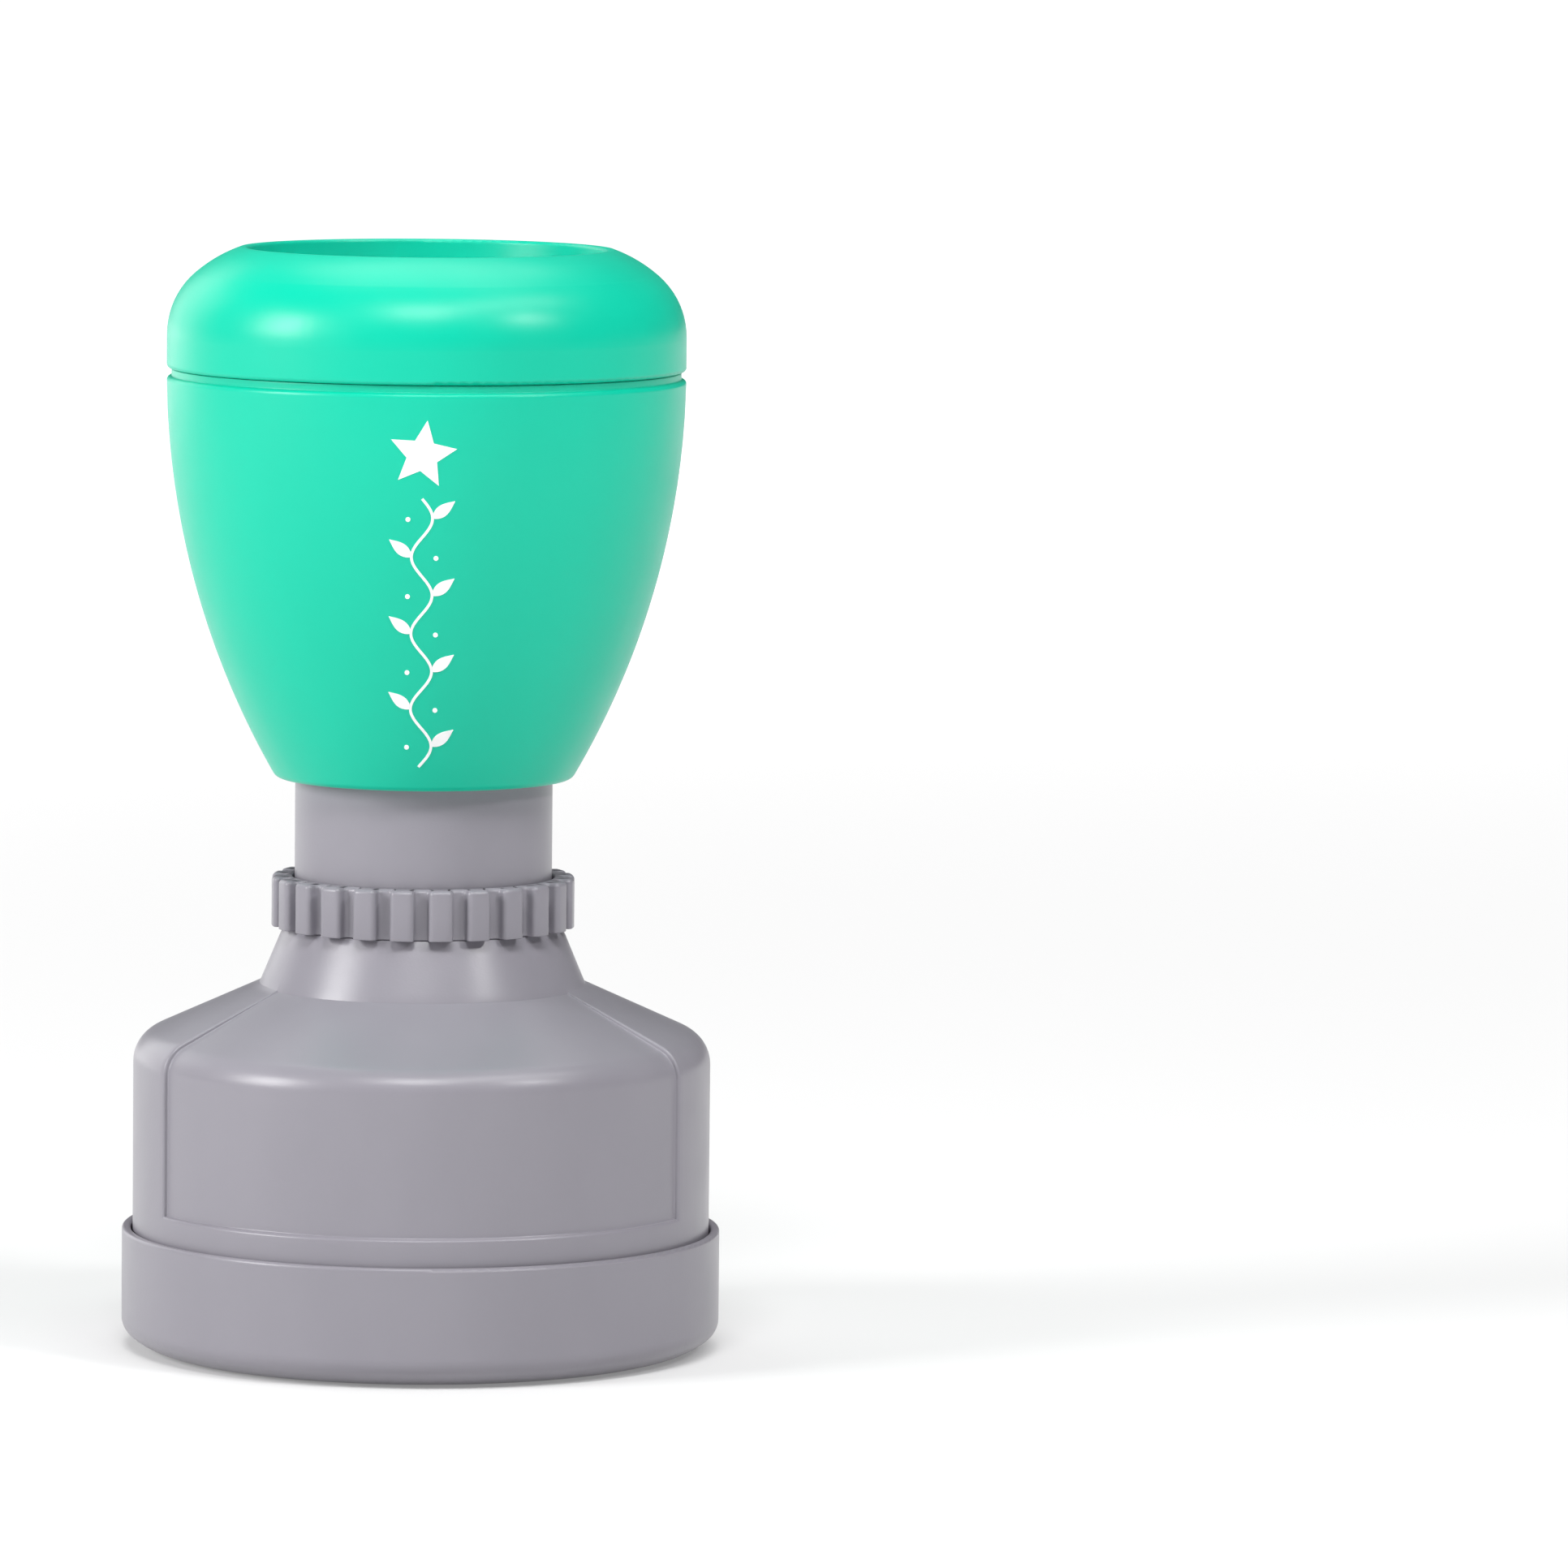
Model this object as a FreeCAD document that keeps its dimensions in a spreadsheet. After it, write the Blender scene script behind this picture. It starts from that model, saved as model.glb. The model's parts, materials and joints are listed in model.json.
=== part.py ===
"""Round pre-inked hand stamp, 40 mm die, standing in its dust cap.

Millimetres. +Z is up, the origin is the centre of the dust cap's underside, and -Y is the
front.  Every piece is a body of its own, built about the Z axis, in its place at rest.
"""
import FreeCAD, Part
import Sketcher
import math
import os

# Driving dimensions, one cell each in the spreadsheet.  "height" is above the table.
DIMENSIONS = {
    # dust cap
    "cap_height": 10.05,
    "cap_wall": 0.75,
    "cap_floor": 1.4,
    "cap_gap": 0.15,
    "cap_foot_inset": 2.15,
    "cap_foot_rise": 1.6,
    "cap_foot_round": 5.0,
    "cap_corner_round": 1.7,
    "cap_rim_round": 0.25,
    "cap_ledge_width": 1.35,
    # outer shell
    "shell_wall": 1.5,
    "shell_rim_height": 3.6,
    "shoulder_height": 25.8,
    "shoulder_angle": 24.4,
    "shoulder_round": 2.95,
    "neck_flare": 1.99,
    "neck_height": 4.78,
    "panel_rise": 2.25,
    "panel_depth": 0.4,
    "panel_angle": 124.0,
    "guide_wall": 2.7,
    "guide_drop": 0.6,
    "seat_gap": 0.05,
    # adjusting ring
    "ring_height": 4.2,
    "ring_wall": 0.67,
    "tooth_depth": 1.1,
    "ring_round": 0.3,
    "ring_thread_length": 4.4,
    "ring_collar_wall": 1.1,
    "ring_bead": 0.3,
    "ring_bead_drop": 1.85,
    "ring_bead_gap": 0.15,
    "collar_below_bead": 0.65,
    "tooth_gap_width": 1.5,
    "tooth_gap_round": 0.35,
    "tooth_round": 0.32,
    "tooth_crown_drop": 0.05,
    "running_gap": 0.1,
    # guide tube
    "tube_radius": 10.73,
    "tube_step": 1.33,
    "tube_thread_wall": 2.0,
    "tube_wall": 1.83,
    "tube_floor": 2.2,
    "tube_step_gap": 0.2,
    "key_width": 3.0,
    "key_height": 1.5,
    "key_length": 5.0,
    "key_rise": 0.8,
    "key_clearance": 0.15,
    "adjust_travel": 1.0,
    # return spring
    "spring_gap": 0.95,
    "spring_wire": 0.9,
    "spring_turns": 10.0,
    # plunger rod and its screws
    "rod_radius": 3.5,
    "rod_flange_radius": 7.0,
    "rod_flange_thickness": 1.95,
    "rod_gap": 0.25,
    "press_travel": 6.0,
    "stop_gap": 0.1,
    "screw_radius": 1.2,
    "screw_gap": 0.05,
    "screw_hole_gap": 0.2,
    "screw_head_radius": 2.8,
    "screw_head_height": 1.9,
    "handle_screw_recess": 1.1,
    "holder_screw_recess": 0.8,
    "handle_screw_length": 14.0,
    "holder_screw_length": 8.0,
    "washer_radius": 4.6,
    "washer_thickness": 0.8,
    # handle barrel
    "barrel_foot_gap": 1.2,
    "barrel_foot_step": 0.02,
    "barrel_foot_round": 0.8,
    "barrel_rise": 33.7,
    "seam_radius": 21.57,
    "seam_gap": 0.6,
    "seam_depth": 0.4,
    "seam_round": 0.35,
    "barrel_bow_radius": 67.5,
    "barrel_wall": 1.8,
    "sleeve_wall": 1.4,
    "sleeve_gap": 0.2,
    "partition_rise": 16.2,
    "partition_thickness": 2.0,
    "barrel_well_rise": 5.4,
    "barrel_well_width": 0.9,
    # handle top
    "dome_wall_height": 2.8,
    "dome_corner_inset": 2.3,
    "dome_corner_rise": 8.2,
    "dome_rim_inset": 6.07,
    "dome_rise": 10.4,
    "dish_rim_width": 0.6,
    "dish_depth": 3.5,
    "dish_draft": 0.3,
    "dish_floor": 1.6,
    "dish_rim_round": 0.25,
    "plug_depth": 2.8,
    "plug_wall": 1.5,
    "plug_gap": 0.25,
    # index label and its window
    "label_gap": 0.4,
    "label_thickness": 0.2,
    "window_gap": 0.25,
    "window_thickness": 1.2,
    # die, reservoir and their holder
    "die_reach": 0.55,
    "die_radius": 19.9,
    "die_thickness": 5.0,
    "die_flange_thickness": 0.5,
    "holder_rim": 1.1,
    "skirt_gap": 0.7,
    "holder_skirt_wall": 0.7,
    "holder_skirt_depth": 2.1,
    "holder_plate": 2.0,
    "reservoir_thickness": 2.9,
    "pad_gap": 0.05,
    "soft_gap": 0.2,
    "clamp_wall": 0.8,
    "clamp_lip": 0.8,
    "clamp_height": 7.0,
    "port_radius": 2.2,
    "port_gap": 0.6,
    "plug_head_radius": 3.1,
    "plug_head_height": 0.9,
}
TOOTH_COUNT = 24
FIRST_GAP_ANGLE = -75.6     # degrees from +X; a tooth's middle is then 6.9 degrees right of the front
KEY_COUNT = 2
PORT_COUNT = 2
PANEL_COUNT = 2
CUT_MARGIN = 1.0            # how far a cutting outline reaches past the solid that it cuts
RECESS_ARM_SHARE = 0.6      # cross recess: its half length, as a share of the screw head's radius
RECESS_SLOT_SHARE = 0.5     # and its slot, as a share of the screw's radius
HEAD_CROWN_SHARE = 0.7      # pan head: radius of its flat top, as a share of the head's
HEAD_SIDE_SHARE = 0.5       # and how much of its height stands straight


class Size:
    """A length or angle that knows its spreadsheet expression and its present value."""

    def __init__(self, text, value):
        self.text = text
        self.value = float(value)

    @staticmethod
    def of(other):
        return other if isinstance(other, Size) else Size(repr(float(other)), other)

    def __add__(self, other):
        other = Size.of(other)
        return Size(f"({self.text} + {other.text})", self.value + other.value)

    def __sub__(self, other):
        other = Size.of(other)
        return Size(f"({self.text} - {other.text})", self.value - other.value)

    def __rsub__(self, other):
        return Size.of(other) - self

    def __mul__(self, factor):
        factor = Size.of(factor)
        return Size(f"({self.text} * {factor.text})", self.value * factor.value)

    def __truediv__(self, divisor):
        divisor = Size.of(divisor)
        return Size(f"({self.text} / {divisor.text})", self.value / divisor.value)


def tangent(angle):
    return Size(f"tan({angle.text})", math.tan(math.radians(angle.value)))


def cosine(angle):
    return Size(f"cos({angle.text})", math.cos(math.radians(angle.value)))


def sine(angle):
    return Size(f"sin({angle.text})", math.sin(math.radians(angle.value)))


class Sizes:
    """The driving dimensions as attributes, each bound to its spreadsheet cell."""


doc = FreeCAD.newDocument("HandStamp")
sheet = doc.addObject("Spreadsheet::Sheet", "Sizes")
d = Sizes()
for row, (alias, number) in enumerate(DIMENSIONS.items(), start=1):
    sheet.set(f"A{row}", str(number))
    sheet.setAlias(f"A{row}", alias)
    setattr(d, alias, Size(f"Sizes.{alias}", number))
doc.recompute()


# ---------------------------------------------------------------- sketch and feature helpers

def new_body(name):
    body = doc.addObject("PartDesign::Body", name)
    body.Label = name
    return body


def origin_plane(body, role):
    return next(f for f in body.Origin.OriginFeatures if f.Role == role)


def new_sketch(body, name, role):
    sketch = body.newObject("Sketcher::SketchObject", name)
    sketch.AttachmentSupport = [(origin_plane(body, role), "")]
    sketch.MapMode = "FlatFace"
    return sketch


def bind(sketch, constraint, size):
    index = sketch.addConstraint(constraint)
    sketch.setExpression(f"Constraints[{index}]", size.text)


def place_point(sketch, edge, end, across, up):
    """Hold one end of an edge at two sizes from the sketch's origin."""
    for kind, size, axis in (("DistanceX", across, -2), ("DistanceY", up, -1)):
        if size.value == 0:
            sketch.addConstraint(Sketcher.Constraint("PointOnObject", edge, end, axis))
        else:
            bind(sketch, Sketcher.Constraint(kind, -1, 1, edge, end, size.value), size)


def smooth_arc(start, direction, finish):
    """The arc that leaves start along direction and ends at finish."""
    chord = finish - start
    normal = FreeCAD.Vector(-direction.y, direction.x, 0)
    radius = chord.dot(chord) / (2 * chord.dot(normal))
    return bowed_arc(start, finish, abs(radius), radius > 0)


def bowed_arc(start, finish, radius, turns_left):
    """The short arc of a radius from start to finish, turning left or right."""
    chord = finish - start
    half = chord.Length / 2
    rise = radius - math.sqrt(radius ** 2 - half ** 2)
    side = FreeCAD.Vector(chord.y, -chord.x, 0)
    side.normalize()
    if not turns_left:
        side = side * -1
    return Part.Arc(start, (start + finish) * 0.5 + side * rise, finish)


def draw_outline(sketch, steps):
    """Closed outline from steps (kind, across, up[, radius]).

    kind is "line", "smooth" (an arc that carries on from the edge before it) or "left" and
    "right" (an arc of a given radius that turns that way).  The first step only gives the
    start, and the outline closes on it with a line.
    """
    steps = [(s[0], Size.of(s[1]), Size.of(s[2])) + tuple(s[3:]) for s in steps]
    points = [FreeCAD.Vector(s[1].value, s[2].value, 0) for s in steps]
    edges = []
    for index in range(len(steps)):
        after = (index + 1) % len(steps)
        start, finish = points[index], points[after]
        kind = steps[after][0] if after else "line"
        if kind == "line":
            edge = Part.LineSegment(start, finish)
            heading = finish - start
            forward = True
        else:
            if kind == "smooth":
                edge = smooth_arc(start, heading, finish)
            else:
                edge = bowed_arc(start, finish, steps[after][3].value, kind == "left")
            circle = edge.toShape().Curve
            forward = circle.Axis.z > 0
            spoke = finish - circle.Center
            heading = FreeCAD.Vector(-spoke.y, spoke.x, 0) * (1 if forward else -1)
        heading.normalize()
        geometry = sketch.addGeometry(edge, False)
        edges.append((geometry, kind, (1, 2) if forward else (2, 1)))
    for index, (geometry, kind, ends) in enumerate(edges):
        before, _, before_ends = edges[index - 1]
        joint = "Tangent" if kind == "smooth" else "Coincident"
        sketch.addConstraint(Sketcher.Constraint(joint, before, before_ends[1], geometry, ends[0]))
        place_point(sketch, geometry, ends[0], steps[index][1], steps[index][2])
        if kind in ("left", "right"):
            radius = steps[index + 1][3]
            bind(sketch, Sketcher.Constraint("Radius", geometry, radius.value), radius)


def revolve(body, steps):
    """Turn an outline, given as (radius, height) steps, about the Z axis."""
    sketch = new_sketch(body, body.Name + "_outline", "XZ_Plane")
    draw_outline(sketch, steps)
    feature = body.newObject("PartDesign::Revolution", body.Name + "_turned")
    feature.Profile = sketch
    feature.ReferenceAxis = (sketch, ["V_Axis"])
    feature.Angle = 360
    doc.recompute()
    return feature


def fillet(body, name, radius, wanted):
    """Round the edges of the body for which wanted(edge) is true."""
    base = body.Tip
    found = [f"Edge{number}" for number, edge in enumerate(base.Shape.Edges, start=1) if wanted(edge)]
    if not found:
        raise RuntimeError(f"{body.Name}: {name} found no edges")
    feature = body.newObject("PartDesign::Fillet", name)
    feature.Base = (base, found)
    feature.setExpression("Radius", radius.text)
    doc.recompute()
    return feature


def round_edges(body, name, radius, circles):
    """Round the circular edges at each (radius, height)."""
    places = [(Size.of(r).value, Size.of(z).value) for r, z in circles]

    def on_a_circle(edge):
        point = edge.Vertexes[0].Point
        across = math.hypot(point.x, point.y)
        round_edge = edge.Curve.TypeId == "Part::GeomCircle" and abs(edge.Curve.Radius - across) < 0.02
        return round_edge and any(abs(across - r) < 0.02 and abs(point.z - z) < 0.02 for r, z in places)

    return fillet(body, name, radius, on_a_circle)


def rectangle_sketch(body, name, inner, outer, width, height, turn=0.0):
    """Rectangle on a level plane, from one radius to another, centred on +X turned by turn."""
    sketch = new_sketch(body, name, "XY_Plane")
    half = width / 2
    draw_outline(sketch, [("line", inner, half * -1), ("line", outer, half * -1),
                          ("line", outer, half), ("line", inner, half)])
    sketch.setExpression("AttachmentOffset.Base.z", height.text)
    sketch.AttachmentOffset.Rotation = FreeCAD.Rotation(FreeCAD.Vector(0, 0, 1), turn)
    return sketch


def spread(body, feature, count, angle=360):
    """Repeat a feature evenly about the Z axis."""
    pattern = body.newObject("PartDesign::PolarPattern", feature.Name + "_pattern")
    pattern.Originals = [feature]
    pattern.Axis = (origin_plane(body, "Z_Axis"), [""])
    pattern.Angle = angle
    pattern.Occurrences = count
    body.Tip = pattern
    doc.recompute()
    return pattern


def cut_up(body, sketch, name, length, count, angle=360):
    """Pocket upwards from a sketch, repeated about the axis, and prove that it cut."""
    before = body.Shape.Volume
    pocket = body.newObject("PartDesign::Pocket", name)
    pocket.Profile = sketch
    pocket.Reversed = True
    pocket.setExpression("Length", length.text)
    doc.recompute()
    spread(body, pocket, count, angle)
    if body.Shape.Volume > before - 1e-3:
        raise RuntimeError(f"{body.Name}: {name} removed nothing")


def disc(name, radius, bottom, thickness):
    body = new_body(name)
    revolve(body, [("line", 0, bottom), ("line", radius, bottom),
                   ("line", radius, bottom + thickness), ("line", 0, bottom + thickness)])
    return body


# ---------------------------------------------------------------- sizes worked out from others

# radii, outwards from the die and from the guide tube
holder_radius = d.die_radius + d.holder_rim
clamp_inner_radius = holder_radius + d.running_gap
clamp_radius = clamp_inner_radius + d.clamp_wall
shell_inner_radius = clamp_radius + d.skirt_gap
shell_radius = shell_inner_radius + d.shell_wall
cap_inner_radius = shell_radius + d.cap_gap
cap_radius = cap_inner_radius + d.cap_wall
tube_thread_radius = d.tube_radius - d.tube_step
tube_bore_radius = tube_thread_radius - d.tube_thread_wall
spring_mean_radius = tube_bore_radius - d.spring_gap - d.spring_wire / 2
key_radius = tube_thread_radius + d.key_height
guide_bore_radius = tube_thread_radius + d.sleeve_gap
guide_outer_radius = guide_bore_radius + d.guide_wall
port_circle_radius = guide_outer_radius + d.port_gap + d.plug_head_radius
collar_radius = tube_thread_radius + d.running_gap + d.ring_collar_wall
ring_root_radius = d.tube_radius + d.sleeve_gap + d.ring_wall
ring_radius = ring_root_radius + d.tooth_depth
neck_top_radius = ring_root_radius
neck_base_radius = neck_top_radius + d.neck_flare
screw_bore_radius = d.screw_radius + d.screw_gap
sleeve_bore_radius = d.tube_radius + d.sleeve_gap
sleeve_outer_radius = sleeve_bore_radius + d.sleeve_wall
barrel_foot_radius = sleeve_outer_radius + d.barrel_foot_step
barrel_inner_radius = d.seam_radius - d.barrel_wall
dome_rim_radius = d.seam_radius - d.dome_rim_inset
dish_radius = dome_rim_radius - d.dish_rim_width
dish_floor_radius = dish_radius - d.dish_draft

# heights, upwards through the shell and the ring
shell_bottom = d.shell_rim_height + d.seat_gap
panel_bottom_height = d.cap_height + d.panel_rise
shoulder_slope = tangent(d.shoulder_angle)
neck_base_height = d.shoulder_height + (shell_radius - neck_base_radius) * shoulder_slope
neck_top_height = neck_base_height + d.neck_height
ring_bottom = neck_top_height + d.seat_gap
ring_top = ring_bottom + d.ring_height
bead_height = ring_bottom - d.ring_bead_drop
collar_bottom = bead_height - d.collar_below_bead
thread_top = collar_bottom + d.ring_thread_length

# heights, upwards through the die, the rod and the guide tube
die_face_height = shell_bottom + d.press_travel - d.die_reach
die_top = die_face_height + d.die_thickness
holder_bottom = die_top - d.holder_skirt_depth
plate_bottom = die_top + d.reservoir_thickness + d.pad_gap * 2
plate_top = plate_bottom + d.holder_plate
rod_bottom = plate_top + d.pad_gap
rod_flange_top = rod_bottom + d.rod_flange_thickness
tube_bottom_height = rod_flange_top + d.stop_gap
tube_floor_top = tube_bottom_height + d.tube_floor
tube_step_height = thread_top + d.adjust_travel + d.tube_step_gap
guide_bottom_height = tube_bottom_height - d.guide_drop
key_bottom = tube_bottom_height + d.key_rise
keyway_top = key_bottom + d.key_length + d.adjust_travel * 2

# heights, upwards through the handle
barrel_foot_height = ring_top + d.adjust_travel + d.press_travel + d.barrel_foot_gap
partition_height = barrel_foot_height + d.partition_rise
partition_top = partition_height + d.partition_thickness
tube_top = partition_height - d.press_travel - d.stop_gap
rod_top = partition_height - d.pad_gap
seam_height = barrel_foot_height + d.barrel_rise
barrel_lip = seam_height - d.seam_gap / 2
barrel_top = seam_height + d.seam_gap / 2
dome_bottom = barrel_top + d.pad_gap
top_height = seam_height + d.dome_rise
dish_floor_top = top_height - d.dish_depth


# ---------------------------------------------------------------- the pieces

def dust_cap():
    body = new_body("dust_cap")
    ledge_radius = cap_inner_radius - d.cap_ledge_width
    foot_radius = cap_radius - d.cap_foot_inset
    revolve(body, [("line", 0, 0), ("line", foot_radius, 0), ("line", cap_radius, d.cap_foot_rise),
                   ("line", cap_radius, d.cap_height), ("line", cap_inner_radius, d.cap_height),
                   ("line", cap_inner_radius, d.shell_rim_height),
                   ("line", ledge_radius, d.shell_rim_height), ("line", ledge_radius, d.cap_floor),
                   ("line", 0, d.cap_floor)])
    round_edges(body, "cap_rim_rounds", d.cap_rim_round,
                [(cap_radius, d.cap_height), (cap_inner_radius, d.cap_height)])
    round_edges(body, "cap_corner_round", d.cap_corner_round, [(cap_radius, d.cap_foot_rise)])
    round_edges(body, "cap_foot_round", d.cap_foot_round, [(foot_radius, 0)])
    return body


def shoulder_outline(radius, corner_height, rounding):
    """Tangent points where the skirt's wall turns into the shoulder."""
    reach = rounding * tangent((90 - d.shoulder_angle) / 2)
    return [("line", radius, corner_height - reach),
            ("smooth", radius - reach * cosine(d.shoulder_angle),
             corner_height + reach * sine(d.shoulder_angle))]


def outer_shell():
    body = new_body("outer_shell")
    inner_corner = (d.shoulder_height + d.shell_wall * shoulder_slope
                    - d.shell_wall / cosine(d.shoulder_angle))
    inner_neck = inner_corner + (shell_inner_radius - guide_outer_radius) * shoulder_slope
    counterbore = collar_radius + d.running_gap
    groove_radius = counterbore + d.ring_bead + d.seat_gap
    groove_half = d.ring_bead + d.ring_bead_gap
    revolve(body, [("line", shell_inner_radius, shell_bottom), ("line", shell_radius, shell_bottom)]
            + shoulder_outline(shell_radius, d.shoulder_height, d.shoulder_round)
            + [("line", neck_base_radius, neck_base_height),
               ("line", neck_top_radius, neck_top_height),
               ("line", counterbore, neck_top_height),
               ("line", counterbore, bead_height + groove_half),
               ("line", groove_radius, bead_height + groove_half),
               ("line", groove_radius, bead_height - groove_half),
               ("line", counterbore, bead_height - groove_half),
               ("line", counterbore, collar_bottom - d.seat_gap),
               ("line", guide_bore_radius, collar_bottom - d.seat_gap),
               ("line", guide_bore_radius, guide_bottom_height),
               ("line", guide_outer_radius, guide_bottom_height),
               ("line", guide_outer_radius, inner_neck),
               ("line", shell_inner_radius, inner_corner)])
    sink_panels(body)
    keyway_bottom = guide_bottom_height - CUT_MARGIN
    keyway = rectangle_sketch(body, "keyway_outline", guide_bore_radius - CUT_MARGIN,
                              key_radius + d.key_clearance, d.key_width + d.key_clearance * 2,
                              keyway_bottom)
    cut_up(body, keyway, "keyway", keyway_top - keyway_bottom, KEY_COUNT)
    return body


def sink_panels(body):
    """Front and back panels, sunk into the skirt and the shoulder as far as the neck."""
    drop = d.panel_depth / cosine(d.shoulder_angle)
    floor_radius = shell_radius - d.panel_depth
    floor_corner = d.shoulder_height + d.panel_depth * shoulder_slope - drop
    outside = shell_radius + CUT_MARGIN
    above = neck_base_height + CUT_MARGIN
    sketch = new_sketch(body, "panel_outline", "YZ_Plane")
    floor = [("line", floor_radius, panel_bottom_height)]
    floor += shoulder_outline(floor_radius, floor_corner, d.shoulder_round - d.panel_depth)
    floor += [("line", neck_base_radius, neck_base_height - drop),
              ("line", neck_base_radius, above), ("line", outside, above),
              ("line", outside, panel_bottom_height)]
    draw_outline(sketch, floor)
    before = body.Shape.Volume
    groove = body.newObject("PartDesign::Groove", "panel")
    groove.Profile = sketch
    groove.ReferenceAxis = (sketch, ["V_Axis"])
    groove.Midplane = True
    groove.setExpression("Angle", d.panel_angle.text)
    doc.recompute()
    spread(body, groove, PANEL_COUNT)
    if body.Shape.Volume > before - 1:
        raise RuntimeError("the panels removed nothing")


def tooth_gap_sketch(body):
    """One gap between two teeth, with rounded floor corners and rounded tooth edges."""
    half = d.tooth_gap_width / 2
    flare = half + d.tooth_round
    crown = ring_radius - d.tooth_crown_drop
    shoulder = crown - d.tooth_round
    floor_start = ring_root_radius + d.tooth_gap_round
    floor_half = half - d.tooth_gap_round
    outside = ring_radius + CUT_MARGIN
    sketch = new_sketch(body, "tooth_gap_outline", "XY_Plane")
    draw_outline(sketch, [("line", outside, flare * -1), ("line", crown, flare * -1),
                          ("left", shoulder, half * -1, d.tooth_round),
                          ("line", floor_start, half * -1),
                          ("smooth", ring_root_radius, floor_half * -1),
                          ("line", ring_root_radius, floor_half),
                          ("smooth", floor_start, half), ("line", shoulder, half),
                          ("left", crown, flare, d.tooth_round), ("line", outside, flare)])
    sketch.setExpression("AttachmentOffset.Base.z", (ring_bottom - CUT_MARGIN).text)
    sketch.AttachmentOffset.Rotation = FreeCAD.Rotation(FreeCAD.Vector(0, 0, 1), FIRST_GAP_ANGLE)
    return sketch


def adjusting_ring():
    body = new_body("adjusting_ring")
    bore = tube_thread_radius + d.running_gap
    counterbore = d.tube_radius + d.sleeve_gap
    revolve(body, [("line", bore, collar_bottom), ("line", collar_radius, collar_bottom),
                   ("line", collar_radius, bead_height - d.ring_bead),
                   ("line", collar_radius + d.ring_bead, bead_height),
                   ("line", collar_radius, bead_height + d.ring_bead),
                   ("line", collar_radius, ring_bottom), ("line", ring_radius, ring_bottom),
                   ("line", ring_radius, ring_top), ("line", counterbore, ring_top),
                   ("line", counterbore, thread_top), ("line", bore, thread_top)])
    round_edges(body, "ring_top_round", d.ring_round, [(ring_radius, ring_top)])
    cut_up(body, tooth_gap_sketch(body), "tooth_gap", d.ring_height + CUT_MARGIN * 2, TOOTH_COUNT)
    return body


def guide_tube():
    body = new_body("guide_tube")
    wide_bore = d.tube_radius - d.tube_wall
    step = wide_bore - tube_bore_radius
    step_top = tube_step_height + d.tube_wall + step
    hole = d.rod_radius + d.rod_gap
    revolve(body, [("line", hole, tube_bottom_height),
                   ("line", tube_thread_radius, tube_bottom_height),
                   ("line", tube_thread_radius, tube_step_height),
                   ("line", d.tube_radius, tube_step_height), ("line", d.tube_radius, tube_top),
                   ("line", wide_bore, tube_top), ("line", wide_bore, step_top),
                   ("line", tube_bore_radius, step_top - step),
                   ("line", tube_bore_radius, tube_floor_top), ("line", hole, tube_floor_top)])
    sketch = rectangle_sketch(body, "key_outline", tube_thread_radius - CUT_MARGIN, key_radius,
                              d.key_width, key_bottom)
    key = body.newObject("PartDesign::Pad", "key")
    key.Profile = sketch
    key.setExpression("Length", d.key_length.text)
    doc.recompute()
    spread(body, key, KEY_COUNT)
    return body


def return_spring():
    body = new_body("return_spring")
    wire_radius = d.spring_wire / 2
    first_turn = tube_floor_top + wire_radius + d.stop_gap
    rise = partition_height - tube_floor_top - d.spring_wire - d.stop_gap * 2
    sketch = new_sketch(body, "wire_outline", "XZ_Plane")
    centre = FreeCAD.Vector(spring_mean_radius.value, first_turn.value, 0)
    wire = sketch.addGeometry(Part.Circle(centre, FreeCAD.Vector(0, 0, 1), wire_radius.value), False)
    place_point(sketch, wire, 3, spring_mean_radius, first_turn)
    bind(sketch, Sketcher.Constraint("Radius", wire, wire_radius.value), wire_radius)
    helix = body.newObject("PartDesign::AdditiveHelix", "coil")
    helix.Profile = sketch
    helix.ReferenceAxis = (sketch, ["V_Axis"])
    helix.Mode = "height-turns-angle"
    helix.Angle = 0
    helix.setExpression("Height", rise.text)
    helix.setExpression("Turns", d.spring_turns.text)
    doc.recompute()
    return body


def plunger_rod():
    body = new_body("plunger_rod")
    top_bore_end = rod_top - d.handle_screw_length
    bottom_bore_end = rod_bottom + d.holder_screw_length
    revolve(body, [("line", screw_bore_radius, rod_bottom), ("line", d.rod_flange_radius, rod_bottom),
                   ("line", d.rod_flange_radius, rod_flange_top),
                   ("line", d.rod_radius, rod_flange_top), ("line", d.rod_radius, rod_top),
                   ("line", screw_bore_radius, rod_top), ("line", screw_bore_radius, top_bore_end),
                   ("line", 0, top_bore_end), ("line", 0, bottom_bore_end),
                   ("line", screw_bore_radius, bottom_bore_end)])
    return body


def cross_recess(body, face_height, depth, opens_up):
    """Cross slot in a screw's head."""
    arm = d.screw_head_radius * RECESS_ARM_SHARE
    slot = d.screw_radius * RECESS_SLOT_SHARE
    bottom = face_height - depth if opens_up else face_height - CUT_MARGIN
    sketch = rectangle_sketch(body, body.Name + "_slot", arm * -1, arm, slot, bottom)
    cut_up(body, sketch, body.Name + "_recess", depth + CUT_MARGIN, 2, 90)


def handle_screw():
    """Pan head screw from the handle's partition down into the rod."""
    body = new_body("handle_screw")
    seat = partition_top + d.washer_thickness + d.pad_gap
    top = seat + d.screw_head_height
    tip = seat - d.handle_screw_length
    crown = d.screw_head_radius * HEAD_CROWN_SHARE
    revolve(body, [("line", 0, tip), ("line", d.screw_radius, tip + d.screw_radius),
                   ("line", d.screw_radius, seat), ("line", d.screw_head_radius, seat),
                   ("line", d.screw_head_radius, seat + d.screw_head_height * HEAD_SIDE_SHARE),
                   ("smooth", crown, top), ("line", 0, top)])
    cross_recess(body, top, d.handle_screw_recess, True)
    return body


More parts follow.
